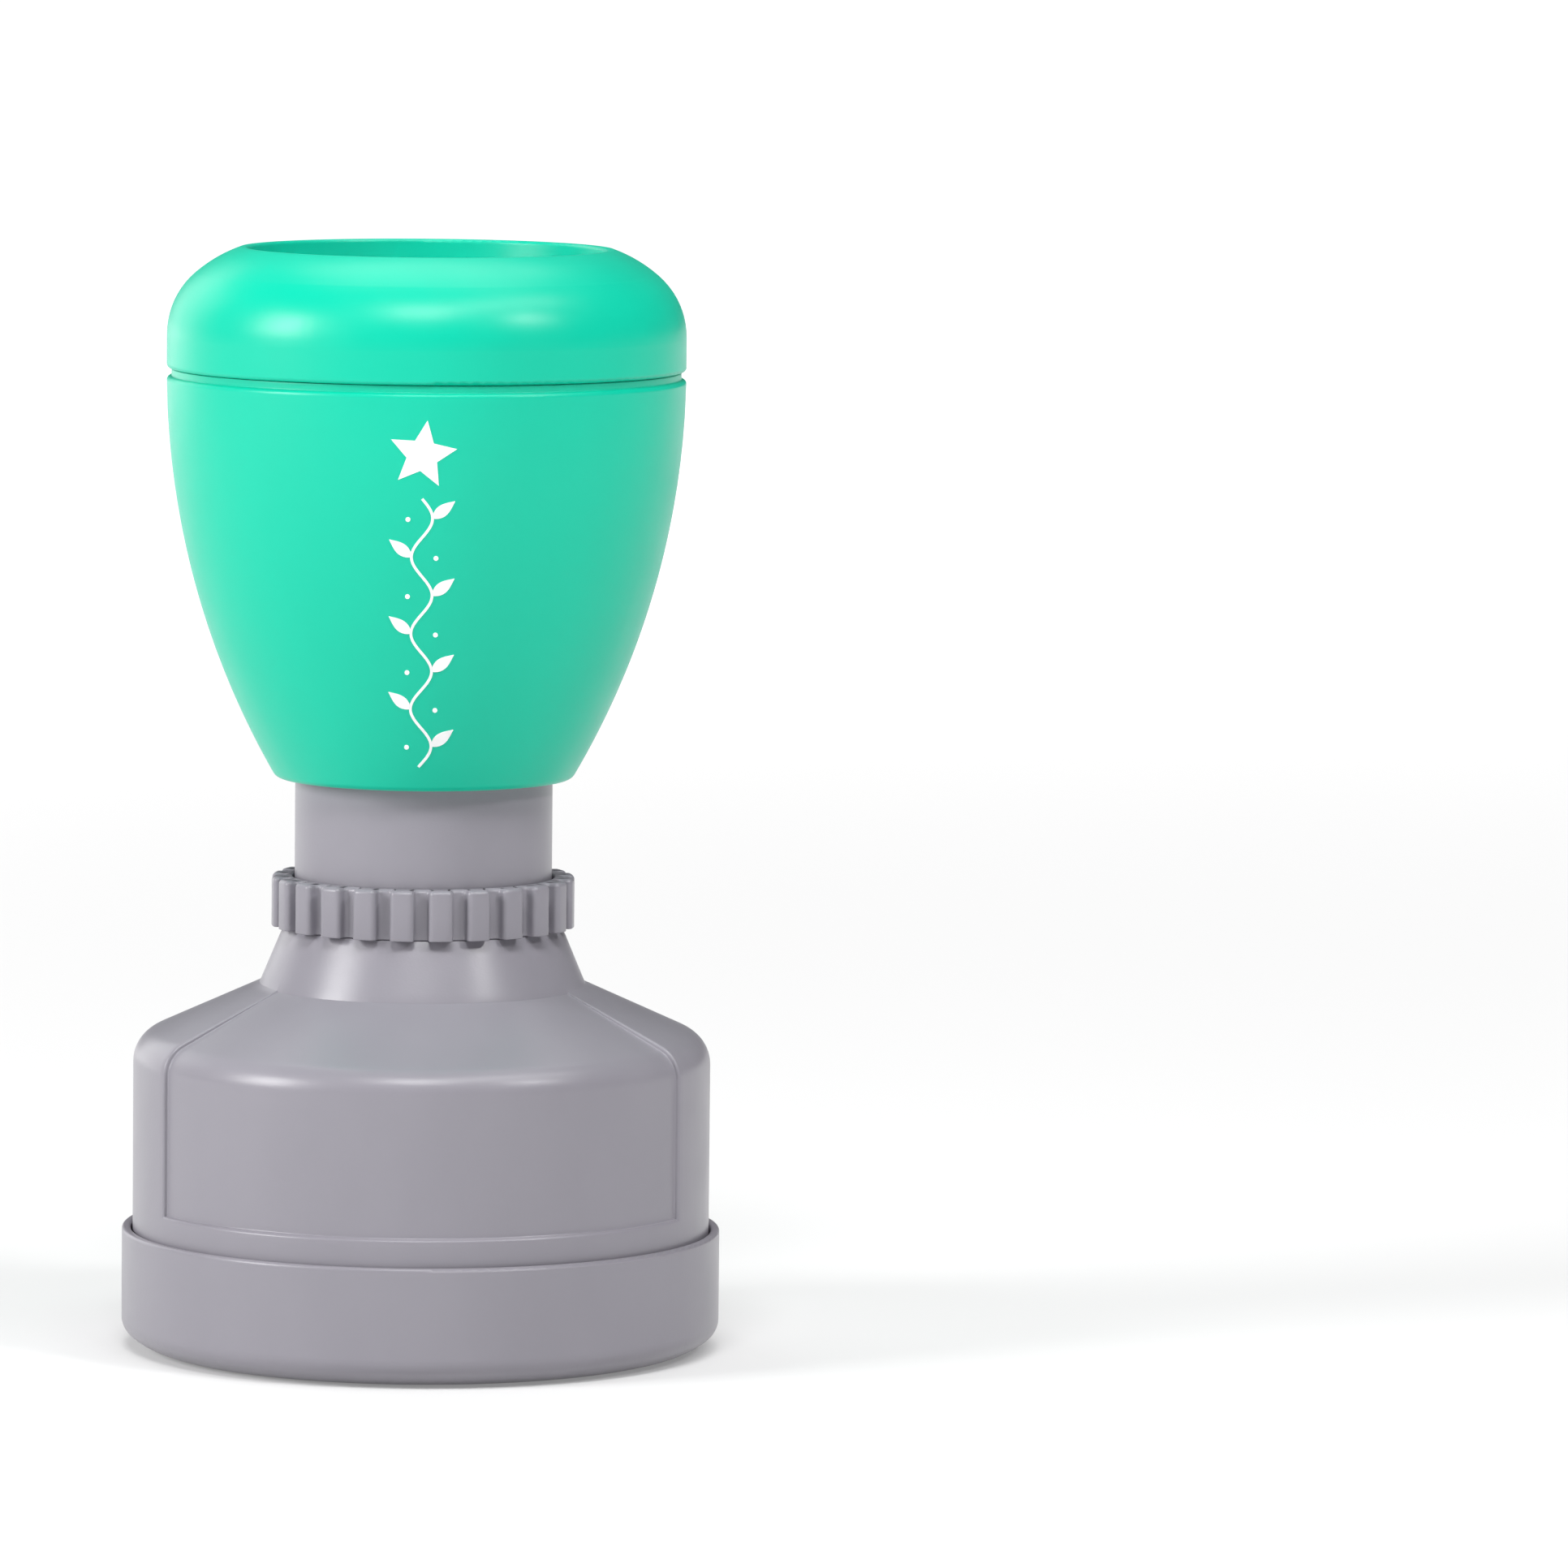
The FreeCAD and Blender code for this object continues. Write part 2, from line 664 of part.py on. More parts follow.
def handle_screw_washer():
    body = new_body("handle_screw_washer")
    bottom = partition_top + d.pad_gap / 2
    hole = d.screw_radius + d.screw_hole_gap
    revolve(body, [("line", hole, bottom), ("line", d.washer_radius, bottom),
                   ("line", d.washer_radius, bottom + d.washer_thickness),
                   ("line", hole, bottom + d.washer_thickness)])
    return body


def countersink():
    """Height over which the holder screw's head narrows to its shank."""
    return d.screw_head_radius - d.screw_radius


def holder_screw():
    """Countersunk screw from the holder's underside up into the rod."""
    body = new_body("holder_screw")
    tip = plate_bottom + d.holder_screw_length
    head = plate_bottom + d.pad_gap
    revolve(body, [("line", 0, head), ("line", d.screw_head_radius, head),
                   ("line", d.screw_radius, head + countersink()),
                   ("line", d.screw_radius, tip - d.screw_radius), ("line", 0, tip)])
    cross_recess(body, head, d.holder_screw_recess, False)
    return body


def die_holder():
    body = new_body("die_holder")
    hole = d.screw_radius + d.screw_hole_gap
    sink = d.screw_head_radius + d.screw_hole_gap
    skirt_inner = holder_radius - d.holder_skirt_wall
    revolve(body, [("line", sink, plate_bottom), ("line", skirt_inner, plate_bottom),
                   ("line", skirt_inner, holder_bottom), ("line", holder_radius, holder_bottom),
                   ("line", holder_radius, plate_top), ("line", hole, plate_top),
                   ("line", hole, plate_bottom + countersink())])
    port = new_sketch(body, "ink_port_outline", "XY_Plane")
    centre = FreeCAD.Vector(0, port_circle_radius.value, 0)
    circle = port.addGeometry(Part.Circle(centre, FreeCAD.Vector(0, 0, 1), d.port_radius.value), False)
    place_point(port, circle, 3, Size.of(0), port_circle_radius)
    bind(port, Sketcher.Constraint("Radius", circle, d.port_radius.value), d.port_radius)
    port.setExpression("AttachmentOffset.Base.z", (plate_bottom - CUT_MARGIN).text)
    cut_up(body, port, "ink_port", d.holder_plate + CUT_MARGIN * 2, PORT_COUNT)
    return body


def refill_plugs():
    """Two soft mushroom plugs, one in each ink port."""
    plug_radius = d.port_radius - d.running_gap
    plugs = []
    for number in range(PORT_COUNT):
        side = 1 - 2 * number
        stem = doc.addObject("Part::Cylinder", f"refill_plug_stem_{number + 1}")
        stem.setExpression("Radius", plug_radius.text)
        stem.setExpression("Height", (d.holder_plate + d.pad_gap).text)
        stem.setExpression("Placement.Base.y", (port_circle_radius * side).text)
        stem.setExpression("Placement.Base.z", plate_bottom.text)
        head = doc.addObject("Part::Cylinder", f"refill_plug_head_{number + 1}")
        head.setExpression("Radius", d.plug_head_radius.text)
        head.setExpression("Height", d.plug_head_height.text)
        head.setExpression("Placement.Base.y", (port_circle_radius * side).text)
        head.setExpression("Placement.Base.z", (plate_top + d.pad_gap).text)
        plugs += [stem, head]
    group = doc.addObject("Part::MultiFuse", "refill_plugs")
    group.Label = "refill_plugs"
    group.Shapes = plugs
    return group


def ink_reservoir():
    radius = holder_radius - d.holder_skirt_wall - d.soft_gap
    return disc("ink_reservoir", radius, plate_bottom - d.pad_gap - d.reservoir_thickness,
                d.reservoir_thickness)


def stamp_die():
    """Foam die: its face stands out below the clamp's lip, its flange is held by the lip."""
    body = new_body("stamp_die")
    flange_top = holder_bottom - d.pad_gap
    flange_bottom = flange_top - d.die_flange_thickness
    upper_radius = holder_radius - d.holder_skirt_wall - d.soft_gap
    flange_radius = holder_radius - d.running_gap
    revolve(body, [("line", 0, die_face_height), ("line", d.die_radius, die_face_height),
                   ("line", d.die_radius, flange_bottom), ("line", flange_radius, flange_bottom),
                   ("line", flange_radius, flange_top), ("line", upper_radius, flange_top),
                   ("line", upper_radius, die_top), ("line", 0, die_top)])
    return body


def die_clamp_ring():
    body = new_body("die_clamp_ring")
    lip_top = holder_bottom - d.pad_gap * 2 - d.die_flange_thickness
    bottom = lip_top - d.clamp_lip
    lip_radius = d.die_radius + d.soft_gap
    top = bottom + d.clamp_height
    revolve(body, [("line", lip_radius, bottom), ("line", clamp_radius, bottom),
                   ("line", clamp_radius, top), ("line", clamp_inner_radius, top),
                   ("line", clamp_inner_radius, lip_top), ("line", lip_radius, lip_top)])
    return body


def handle_barrel():
    body = new_body("handle_barrel")
    neck_radius = d.seam_radius - d.seam_depth
    well_bottom = barrel_foot_height + d.barrel_well_rise
    well_radius = sleeve_outer_radius + d.barrel_well_width
    screw_hole = d.screw_radius + d.screw_hole_gap
    revolve(body, [("line", sleeve_bore_radius, barrel_foot_height),
                   ("line", barrel_foot_radius, barrel_foot_height),
                   ("left", d.seam_radius, barrel_lip, d.barrel_bow_radius),
                   ("line", neck_radius, barrel_lip), ("line", neck_radius, barrel_top),
                   ("line", barrel_inner_radius, barrel_top),
                   ("right", well_radius, well_bottom, d.barrel_bow_radius - d.barrel_wall),
                   ("line", sleeve_outer_radius, well_bottom),
                   ("line", sleeve_outer_radius, partition_top), ("line", screw_hole, partition_top),
                   ("line", screw_hole, partition_height),
                   ("line", sleeve_bore_radius, partition_height)])
    round_edges(body, "barrel_foot_round", d.barrel_foot_round,
                [(barrel_foot_radius, barrel_foot_height)])
    round_edges(body, "barrel_seam_round", d.seam_round, [(d.seam_radius, barrel_lip)])
    return body


def handle_top():
    body = new_body("handle_top")
    plug_radius = barrel_inner_radius - d.plug_gap
    plug_inner = plug_radius - d.plug_wall
    plug_bottom = barrel_top - d.plug_depth
    underside = dish_floor_top - d.dish_floor
    wall_top = dome_bottom + d.dome_wall_height
    revolve(body, [("line", plug_radius, plug_bottom), ("line", plug_radius, dome_bottom),
                   ("line", d.seam_radius, dome_bottom), ("line", d.seam_radius, wall_top),
                   ("smooth", d.seam_radius - d.dome_corner_inset, seam_height + d.dome_corner_rise),
                   ("smooth", dome_rim_radius, top_height),
                   ("line", dish_radius, top_height), ("line", dish_floor_radius, dish_floor_top),
                   ("line", 0, dish_floor_top), ("line", 0, underside),
                   ("line", dish_radius, underside), ("line", plug_inner, wall_top),
                   ("line", plug_inner, plug_bottom)])
    round_edges(body, "dome_seam_round", d.seam_round, [(d.seam_radius, dome_bottom)])
    round_edges(body, "dish_rim_round", d.dish_rim_round, [(dish_radius, top_height)])
    return body


def index_label():
    bottom = dish_floor_top + d.pad_gap
    return disc("index_label", dish_floor_radius - d.label_gap, bottom, d.label_thickness)


def index_window():
    bottom = dish_floor_top + d.pad_gap * 2 + d.label_thickness
    return disc("index_window", dish_floor_radius - d.window_gap, bottom, d.window_thickness)


PIECES = [dust_cap, outer_shell, adjusting_ring, guide_tube, return_spring, plunger_rod,
          handle_screw, handle_screw_washer, holder_screw, die_holder, refill_plugs,
          ink_reservoir, stamp_die, die_clamp_ring, handle_barrel, handle_top,
          index_label, index_window]

built = [make() for make in PIECES]
doc.recompute()

for item in doc.Objects:
    if "Invalid" in item.State or "Error" in item.State:
        raise RuntimeError(f"{item.Name} failed: {item.State}")
for piece in built:
    if piece.Shape.isNull() or not piece.Shape.isValid():
        raise RuntimeError(f"{piece.Label} has no valid shape")

os.makedirs("parts", exist_ok=True)
for piece in built:
    piece.Shape.exportStep(f"parts/{piece.Label}.step")
    print(f"{piece.Label}: {len(piece.Shape.Solids)} solids, {piece.Shape.Volume:.1f} mm3")
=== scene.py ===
"""Looks of the round pre-inked hand stamp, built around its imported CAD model.

Metres, in the CAD frame: +Z up, -Y the front, the origin under the middle of the dust cap.
"""

import json
import math

import bmesh
import bpy
from mathutils import Matrix, Vector


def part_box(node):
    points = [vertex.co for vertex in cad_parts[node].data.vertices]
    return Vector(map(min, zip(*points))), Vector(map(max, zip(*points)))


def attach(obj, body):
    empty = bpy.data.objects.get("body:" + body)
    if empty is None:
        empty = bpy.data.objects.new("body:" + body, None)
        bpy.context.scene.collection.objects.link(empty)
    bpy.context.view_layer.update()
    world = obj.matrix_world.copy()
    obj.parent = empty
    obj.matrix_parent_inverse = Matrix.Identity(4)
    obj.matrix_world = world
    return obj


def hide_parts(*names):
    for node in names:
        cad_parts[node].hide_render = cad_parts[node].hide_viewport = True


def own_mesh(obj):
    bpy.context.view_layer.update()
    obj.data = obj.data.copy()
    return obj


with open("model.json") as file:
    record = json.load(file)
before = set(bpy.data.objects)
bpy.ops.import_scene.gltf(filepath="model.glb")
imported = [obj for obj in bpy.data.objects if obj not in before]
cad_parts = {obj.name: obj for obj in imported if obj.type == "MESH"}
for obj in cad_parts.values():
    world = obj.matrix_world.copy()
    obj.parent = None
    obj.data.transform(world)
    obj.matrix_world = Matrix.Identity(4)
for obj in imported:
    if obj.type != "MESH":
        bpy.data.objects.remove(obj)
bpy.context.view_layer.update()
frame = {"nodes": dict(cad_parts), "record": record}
MM = 0.001

# ------------------------------------------------------------------ camera, light and stage

CAMERA_DISTANCE = 0.872
CAMERA_HEIGHT = 0.1365
CAMERA_PITCH = math.radians(5.83)       # looking down
CAMERA_YAW = math.radians(1.973)        # looking right of the stamp, which stands left of centre
CAMERA_ROLL = math.radians(0.60)
LENS = 241.2
SENSOR = 36.0


def add_camera():
    data = bpy.data.cameras.new("camera")
    data.lens = LENS
    data.sensor_width = SENSOR
    data.clip_start = 0.01
    camera = bpy.data.objects.new("camera", data)
    bpy.context.scene.collection.objects.link(camera)
    level = math.pi / 2
    turn = Matrix.Rotation(-CAMERA_YAW, 4, "Z") @ Matrix.Rotation(level - CAMERA_PITCH, 4, "X")
    place = Matrix.Translation((0, -CAMERA_DISTANCE, CAMERA_HEIGHT))
    camera.matrix_world = place @ turn @ Matrix.Rotation(CAMERA_ROLL, 4, "Z")
    bpy.context.scene.camera = camera


STAMP_MIDDLE = Vector((0, 0, 0.055))
SOFTBOXES = (   # name, azimuth, elevation, distance, width, height, power
    ("key", -68, 23, 1.0, 0.35, 0.42, 7.9),
    ("fill", 52, 60, 1.0, 0.80, 0.26, 3.6),
    ("spot", 52, 38, 1.0, 0.16, 0.16, 2.8),
    ("front", -6, 52, 1.0, 0.34, 0.26, 4.6),
    ("top", 180, 70, 1.0, 0.70, 0.62, 3.3),
    ("rim", -140, 14, 1.2, 0.80, 0.80, 3.2))
SKY = 0.10
FLOOR_WHITE = 0.60
FLOOR_HALF = 8.0
GLOW_NEAR, GLOW_FAR = 0.20, 1.00        # the floor's own light beside the stamp and out at the back
GLOW_START, GLOW_END = 0.10, 1.25       # and the distances between which it rises


def toward(azimuth, elevation, distance):
    """Point at a bearing from the stamp's middle: azimuth from the front, positive to the right."""
    a, e = math.radians(azimuth), math.radians(elevation)
    return STAMP_MIDDLE + distance * Vector((math.sin(a) * math.cos(e), -math.cos(a) * math.cos(e),
                                             math.sin(e)))


def add_softbox(name, azimuth, elevation, distance, width, height, power):
    """Rectangular light that faces the stamp's middle from a bearing."""
    data = bpy.data.lights.new(name, "AREA")
    data.shape = "RECTANGLE"
    data.size = width
    data.size_y = height
    data.energy = power
    light = bpy.data.objects.new(name, data)
    light.location = toward(azimuth, elevation, distance)
    aim = STAMP_MIDDLE - light.location
    light.rotation_euler = aim.to_track_quat("-Z", "Y").to_euler()
    bpy.context.scene.collection.objects.link(light)


def floor_material():
    material = bpy.data.materials.new("pale_floor")
    material.use_nodes = True
    nodes, links = material.node_tree.nodes, material.node_tree.links
    shader = nodes["Principled BSDF"]
    shader.inputs["Base Color"].default_value = (FLOOR_WHITE, FLOOR_WHITE, FLOOR_WHITE, 1)
    shader.inputs["Roughness"].default_value = 0.9
    shader.inputs["Specular IOR Level"].default_value = 0.0
    shader.inputs["Emission Color"].default_value = (1, 1, 1, 1)
    length = nodes.new("ShaderNodeVectorMath")
    length.operation = "LENGTH"
    rise = nodes.new("ShaderNodeMapRange")
    rise.interpolation_type = "SMOOTHSTEP"
    for socket, number in (("From Min", GLOW_START), ("From Max", GLOW_END),
                           ("To Min", GLOW_NEAR), ("To Max", GLOW_FAR)):
        rise.inputs[socket].default_value = number
    links.new(nodes.new("ShaderNodeTexCoord").outputs["Object"], length.inputs[0])
    links.new(length.outputs["Value"], rise.inputs["Value"])
    links.new(rise.outputs["Result"], shader.inputs["Emission Strength"])
    return material


def add_stage():
    world = bpy.data.worlds.new("studio")
    world.use_nodes = True
    background = world.node_tree.nodes["Background"]
    background.inputs["Color"].default_value = (1.0, 1.0, 1.0, 1.0)
    background.inputs["Strength"].default_value = SKY
    bpy.context.scene.world = world
    mesh = bpy.data.meshes.new("floor")
    corners = [(x * FLOOR_HALF, y * FLOOR_HALF, 0) for x, y in ((-1, -1), (1, -1), (1, 1), (-1, 1))]
    mesh.from_pydata(corners, [], [(0, 1, 2, 3)])
    mesh.materials.append(floor_material())
    floor = bpy.data.objects.new("floor", mesh)
    bpy.context.scene.collection.objects.link(floor)
    for softbox in SOFTBOXES:
        add_softbox(*softbox)


# ------------------------------------------------------------------ procedural materials

class Shader:
    """Short names for building one node material around a Principled BSDF."""

    def __init__(self, name):
        self.material = bpy.data.materials.new(name)
        self.material.use_nodes = True
        self.nodes = self.material.node_tree.nodes
        self.links = self.material.node_tree.links
        self.bsdf = self.nodes["Principled BSDF"]
        self.coords = self.nodes.new("ShaderNodeTexCoord").outputs["Object"]

    def set(self, socket, value):
        self.bsdf.inputs[socket].default_value = value

    def feed(self, socket, output):
        self.links.new(output, self.bsdf.inputs[socket])

    def noise(self, scale, detail=2.0, stretch=(1, 1, 1)):
        mapping = self.nodes.new("ShaderNodeMapping")
        mapping.inputs["Scale"].default_value = stretch
        self.links.new(self.coords, mapping.inputs["Vector"])
        node = self.nodes.new("ShaderNodeTexNoise")
        node.inputs["Scale"].default_value = scale
        node.inputs["Detail"].default_value = detail
        self.links.new(mapping.outputs["Vector"], node.inputs["Vector"])
        return node.outputs["Fac"]

    def cells(self, scale):
        node = self.nodes.new("ShaderNodeTexVoronoi")
        node.inputs["Scale"].default_value = scale
        self.links.new(self.coords, node.inputs["Vector"])
        return node.outputs["Distance"]

    def ramp(self, value, low, high, out_low=0.0, out_high=1.0):
        node = self.nodes.new("ShaderNodeMapRange")
        for socket, number in (("From Min", low), ("From Max", high),
                               ("To Min", out_low), ("To Max", out_high)):
            node.inputs[socket].default_value = number
        self.links.new(value, node.inputs["Value"])
        return node.outputs["Result"]

    def mix(self, factor, first, second):
        """Colour between two colours, or an earlier mix and a colour."""
        node = self.nodes.new("ShaderNodeMix")
        node.data_type = "RGBA"
        self.links.new(factor, node.inputs[0])
        for socket, colour in ((6, first), (7, second)):
            if isinstance(colour, tuple):
                node.inputs[socket].default_value = (*colour, 1)
            else:
                self.links.new(colour, node.inputs[socket])
        return node.outputs[2]

    def edge_normal(self, radius):
        node = self.nodes.new("ShaderNodeBevel")
        node.samples = 6
        node.inputs["Radius"].default_value = radius
        return node.outputs["Normal"]

    def edge_mask(self, soft_normal):
        """1 where the surface turns sharply, 0 on open faces."""
        geometry = self.nodes.new("ShaderNodeNewGeometry")
        dot = self.nodes.new("ShaderNodeVectorMath")
        dot.operation = "DOT_PRODUCT"
        self.links.new(soft_normal, dot.inputs[0])
        self.links.new(geometry.outputs["Normal"], dot.inputs[1])
        return self.ramp(dot.outputs["Value"], 1.0, 0.85)

    def bump(self, height, distance, strength=1.0, normal=None):
        node = self.nodes.new("ShaderNodeBump")
        node.inputs["Distance"].default_value = distance
        node.inputs["Strength"].default_value = strength
        self.links.new(height, node.inputs["Height"])
        if normal is not None:
            self.links.new(normal, node.inputs["Normal"])
        return node.outputs["Normal"]


def moulded_plastic(name, colour, edge_highlight, deep, rough, gloss, grain, edge=0.18 * MM):
    """Injection-moulded plastic: faint flow mottling, fine grain, softly rounded edges and a
    painted highlight, a paler colour along them.
    """
    s = Shader(name)
    flow = s.ramp(s.noise(90, 3, (1, 1, 0.45)), 0.3, 0.7)
    body = s.mix(flow, deep, colour)
    soft = None
    if edge:
        soft = s.edge_normal(edge)
        # Painted highlight: sharp edges are mixed towards the paler edge colour, up to 55 per cent.
        painted_highlight_share = s.ramp(s.edge_mask(soft), 0, 1, 0, 0.55)
        body = s.mix(painted_highlight_share, body, edge_highlight)
    s.feed("Base Color", body)
    s.feed("Roughness", s.ramp(s.noise(210, 2), 0.25, 0.75, rough - 0.03, rough + 0.04))
    s.set("Specular IOR Level", gloss)
    s.set("IOR", 1.49)
    fine = s.bump(s.noise(5200, 2), 0.012 * MM, grain, soft)
    s.feed("Normal", s.bump(s.noise(160, 2), 0.05 * MM, 0.25, fine))
    return s.material


# The pale edge colours below are painted highlights along sharp edges.
GREEN = dict(colour=(0.0, 0.520, 0.338), edge_highlight=(0.04, 0.60, 0.43), deep=(0.0, 0.503, 0.326),
             rough=0.34, gloss=0.33, grain=0.25)
GREY = dict(colour=(0.262, 0.250, 0.283), edge_highlight=(0.42, 0.40, 0.44), deep=(0.246, 0.235, 0.267),
            rough=0.31, gloss=0.44, grain=0.5)
BLACK = dict(colour=(0.022, 0.022, 0.024), edge_highlight=(0.09, 0.09, 0.095), deep=(0.015, 0.015, 0.017),
             rough=0.45, gloss=0.5, grain=0.6)


def make_materials():
    return {
        "green_plastic": moulded_plastic("green_plastic", **GREEN),
        "grey_plastic": moulded_plastic("grey_plastic", **GREY),
        "grey_rounded": moulded_plastic("grey_rounded", **GREY, edge=None),
        "inner_plastic": moulded_plastic("inner_plastic", **BLACK),
        "spring_steel": metal("spring_steel", bright=(0.60, 0.59, 0.58), dull=(0.48, 0.47, 0.47),
                              rough=0.26, stretch=(1, 1, 6)),
        "screw_steel": metal("screw_steel", bright=(0.68, 0.67, 0.61), dull=(0.55, 0.56, 0.55),
                             rough=0.33, stretch=(1, 1, 1)),
        "die_foam": die_foam(),
        "felt": felt(),
        "soft_plug": silicone(),
        "label_paper": paper(),
        "clear_window": clear_window(),
        "white_print": print_ink("white_print", (0.93, 0.93, 0.93), (0.86, 0.87, 0.87)),
        "green_print": print_ink("green_print", (0.0, 0.185, 0.055), (0.0, 0.145, 0.045)),
    }


def metal(name, bright, dull, rough, stretch):
    """Drawn or plated steel: streaks along one axis, dull patches and softly rounded edges."""
    s = Shader(name)
    s.set("Metallic", 1.0)
    patches = s.ramp(s.noise(420, 4, stretch), 0.35, 0.65)
    s.feed("Base Color", s.mix(patches, dull, bright))
    streaks = s.noise(2600, 3, stretch)
    s.feed("Roughness", s.ramp(streaks, 0.3, 0.7, rough - 0.07, rough + 0.1))
    s.feed("Normal", s.bump(streaks, 0.01 * MM, 0.5, s.edge_normal(0.08 * MM)))
    return s.material


def die_foam():
    """Microporous foam soaked with green ink: fine open pores, wet between them."""
    s = Shader("die_foam")
    pores = s.ramp(s.cells(3800), 0.05, 0.5)
    ink = s.mix(s.ramp(s.noise(260, 4), 0.35, 0.65), (0.004, 0.085, 0.030), (0.008, 0.165, 0.060))
    # The pores' pits are painted darker: painted shade in them.
    s.feed("Base Color", s.mix(pores, (0.002, 0.045, 0.016), ink))
    s.feed("Roughness", s.ramp(s.noise(900, 3), 0.3, 0.7, 0.38, 0.68))
    s.set("Coat Weight", 0.15)
    s.set("Coat Roughness", 0.35)
    s.feed("Normal", s.bump(pores, 0.05 * MM, 0.8, s.edge_normal(0.1 * MM)))
    return s.material


def felt():
    """Wool felt soaked with ink: matted fibres in all directions."""
    s = Shader("felt")
    fibres = s.noise(2400, 6, (1, 1, 4))
    matted = s.ramp(fibres, 0.3, 0.7)
    s.feed("Base Color", s.mix(matted, (0.003, 0.055, 0.022), (0.012, 0.135, 0.055)))
    s.set("Roughness", 0.92)
    s.set("Sheen Weight", 0.35)
    s.set("Sheen Roughness", 0.5)
    s.feed("Normal", s.bump(fibres, 0.12 * MM, 0.9))
    return s.material


def silicone():
    """Soft translucent plug material, cloudy, with a satin skin."""
    s = Shader("soft_plug")
    cloud = s.ramp(s.noise(500, 3), 0.3, 0.7)
    s.feed("Base Color", s.mix(cloud, (0.52, 0.53, 0.52), (0.64, 0.64, 0.62)))
    s.set("Subsurface Weight", 0.3)
    s.set("Subsurface Scale", 0.002)
    s.feed("Roughness", s.ramp(s.noise(1400, 2), 0.3, 0.7, 0.40, 0.52))
    s.feed("Normal", s.bump(cloud, 0.03 * MM, 0.4, s.edge_normal(0.15 * MM)))
    return s.material


def paper():
    """Uncoated label paper with short fibres and a slight warm mottle."""
    s = Shader("label_paper")
    fibres = s.noise(1900, 5, (1, 3, 1))
    s.feed("Base Color", s.mix(s.ramp(fibres, 0.3, 0.7), (0.79, 0.785, 0.765), (0.87, 0.87, 0.855)))
    s.set("Roughness", 0.82)
    s.feed("Normal", s.bump(fibres, 0.02 * MM, 0.6))
    return s.material


def clear_window():
    """Clear acrylic with faint polishing haze."""
    s = Shader("clear_window")
    s.set("Base Color", (0.97, 0.99, 0.985, 1))
    s.set("Transmission Weight", 1.0)
    s.set("IOR", 1.49)
    s.feed("Roughness", s.ramp(s.noise(300, 4), 0.35, 0.75, 0.015, 0.07))
    s.feed("Normal", s.bump(s.noise(120, 2), 0.02 * MM, 0.15, s.edge_normal(0.15 * MM)))
    return s.material


def print_ink(name, colour, thin):
    """Pad-printed ink: slightly uneven cover and a dry, fine-grained surface."""
    s = Shader(name)
    cover = s.ramp(s.noise(900, 4), 0.3, 0.62)
    s.feed("Base Color", s.mix(cover, thin, colour))
    s.feed("Roughness", s.ramp(s.noise(2200, 2), 0.3, 0.7, 0.48, 0.62))
    s.feed("Normal", s.bump(s.noise(4200, 2), 0.008 * MM, 0.5))
    return s.material


def dress(materials):
    """Give every CAD node its finished material."""
    slots = {s["node"]: s["material_slot"] for s in frame["record"]["subparts"]}
    for name, node in frame["nodes"].items():
        node.data.materials.clear()
        node.data.materials.append(materials[slots[name]])


# ------------------------------------------------------------------ mesh helpers

SHARP_ANGLE = math.radians(35)


def add_piece(name, solid, material, body, replaced=()):
    """Make a mesh piece from a solid in millimetres, ride it on a body, name what it replaces."""
    mesh = bpy.data.meshes.new(name)
    mesh.from_pydata([Vector(v) * MM for v in solid.verts], [], solid.faces)
    mesh.validate()
    tidy = bmesh.new()
    tidy.from_mesh(mesh)
    bmesh.ops.recalc_face_normals(tidy, faces=tidy.faces)
    tidy.to_mesh(mesh)
    tidy.free()
    mesh.shade_smooth()
    mesh.set_sharp_from_angle(angle=SHARP_ANGLE)
    mesh.materials.append(material)
    piece = bpy.data.objects.new(name, mesh)
    bpy.context.scene.collection.objects.link(piece)
    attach(piece, body)
    if replaced:
        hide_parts(*replaced)
    return piece


def span(node):
    """Lowest and highest corners of a CAD node in millimetres."""
    low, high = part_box(node)
    return low / MM, high / MM


class Solid:
    """Vertices and faces of one piece, gathered from several closed shapes."""

    def __init__(self):
        self.verts = []
        self.faces = []

    def add(self, verts, faces):
        base = len(self.verts)
        self.verts += verts
        self.faces += [tuple(base + i for i in face) for face in faces]

    def add_rings(self, rings, closed_rows):
        """Join rings of equal length; with closed_rows the last ring meets the first."""
        count = len(rings[0])
        faces = []
        for row in range(len(rings) if closed_rows else len(rings) - 1):
            here, after = row * count, (row + 1) % len(rings) * count
            for i in range(count):
                j = (i + 1) % count
                faces.append((here + i, here + j, after + j, after + i))
        if not closed_rows:
            faces.append(tuple(reversed(range(count))))
            faces.append(tuple((len(rings) - 1) * count + i for i in range(count)))
        self.add([v for ring in rings for v in ring], faces)


def arc_points(centre, radius, start, finish, count):
    """Points on an arc, in degrees, both ends included."""
    angles = [math.radians(start + (finish - start) * i / (count - 1)) for i in range(count)]
    return [(centre[0] + radius * math.cos(a), centre[1] + radius * math.sin(a)) for a in angles]


def spread_line(start, finish, count):
    """Points on a straight line, both ends included."""
    return [tuple(a + (b - a) * i / (count - 1) for a, b in zip(start, finish))
            for i in range(count)]


def star_points(radius, waist, turn, steps):
    """Outline of a five-pointed star about the origin, each edge cut into steps."""
    corners = []
    for i in range(10):
        angle = math.radians(turn + 36 * i)
        reach = radius if i % 2 == 0 else radius * waist
        corners.append((reach * math.sin(angle), reach * math.cos(angle)))
    outline = []
    for i, corner in enumerate(corners):
        outline += spread_line(corner, corners[(i + 1) % 10], steps + 1)[:-1]
    return outline


def flat_place(low, high):
    """Place (across, along, share) points on a level: share is 0 on the low face, 1 on the high."""
    return lambda x, y, share: (x, y, low + (high - low) * share)


STAR_MIDDLE = 0.02          # share of a whole star that its middle face takes
STAR_LAYERS = 6


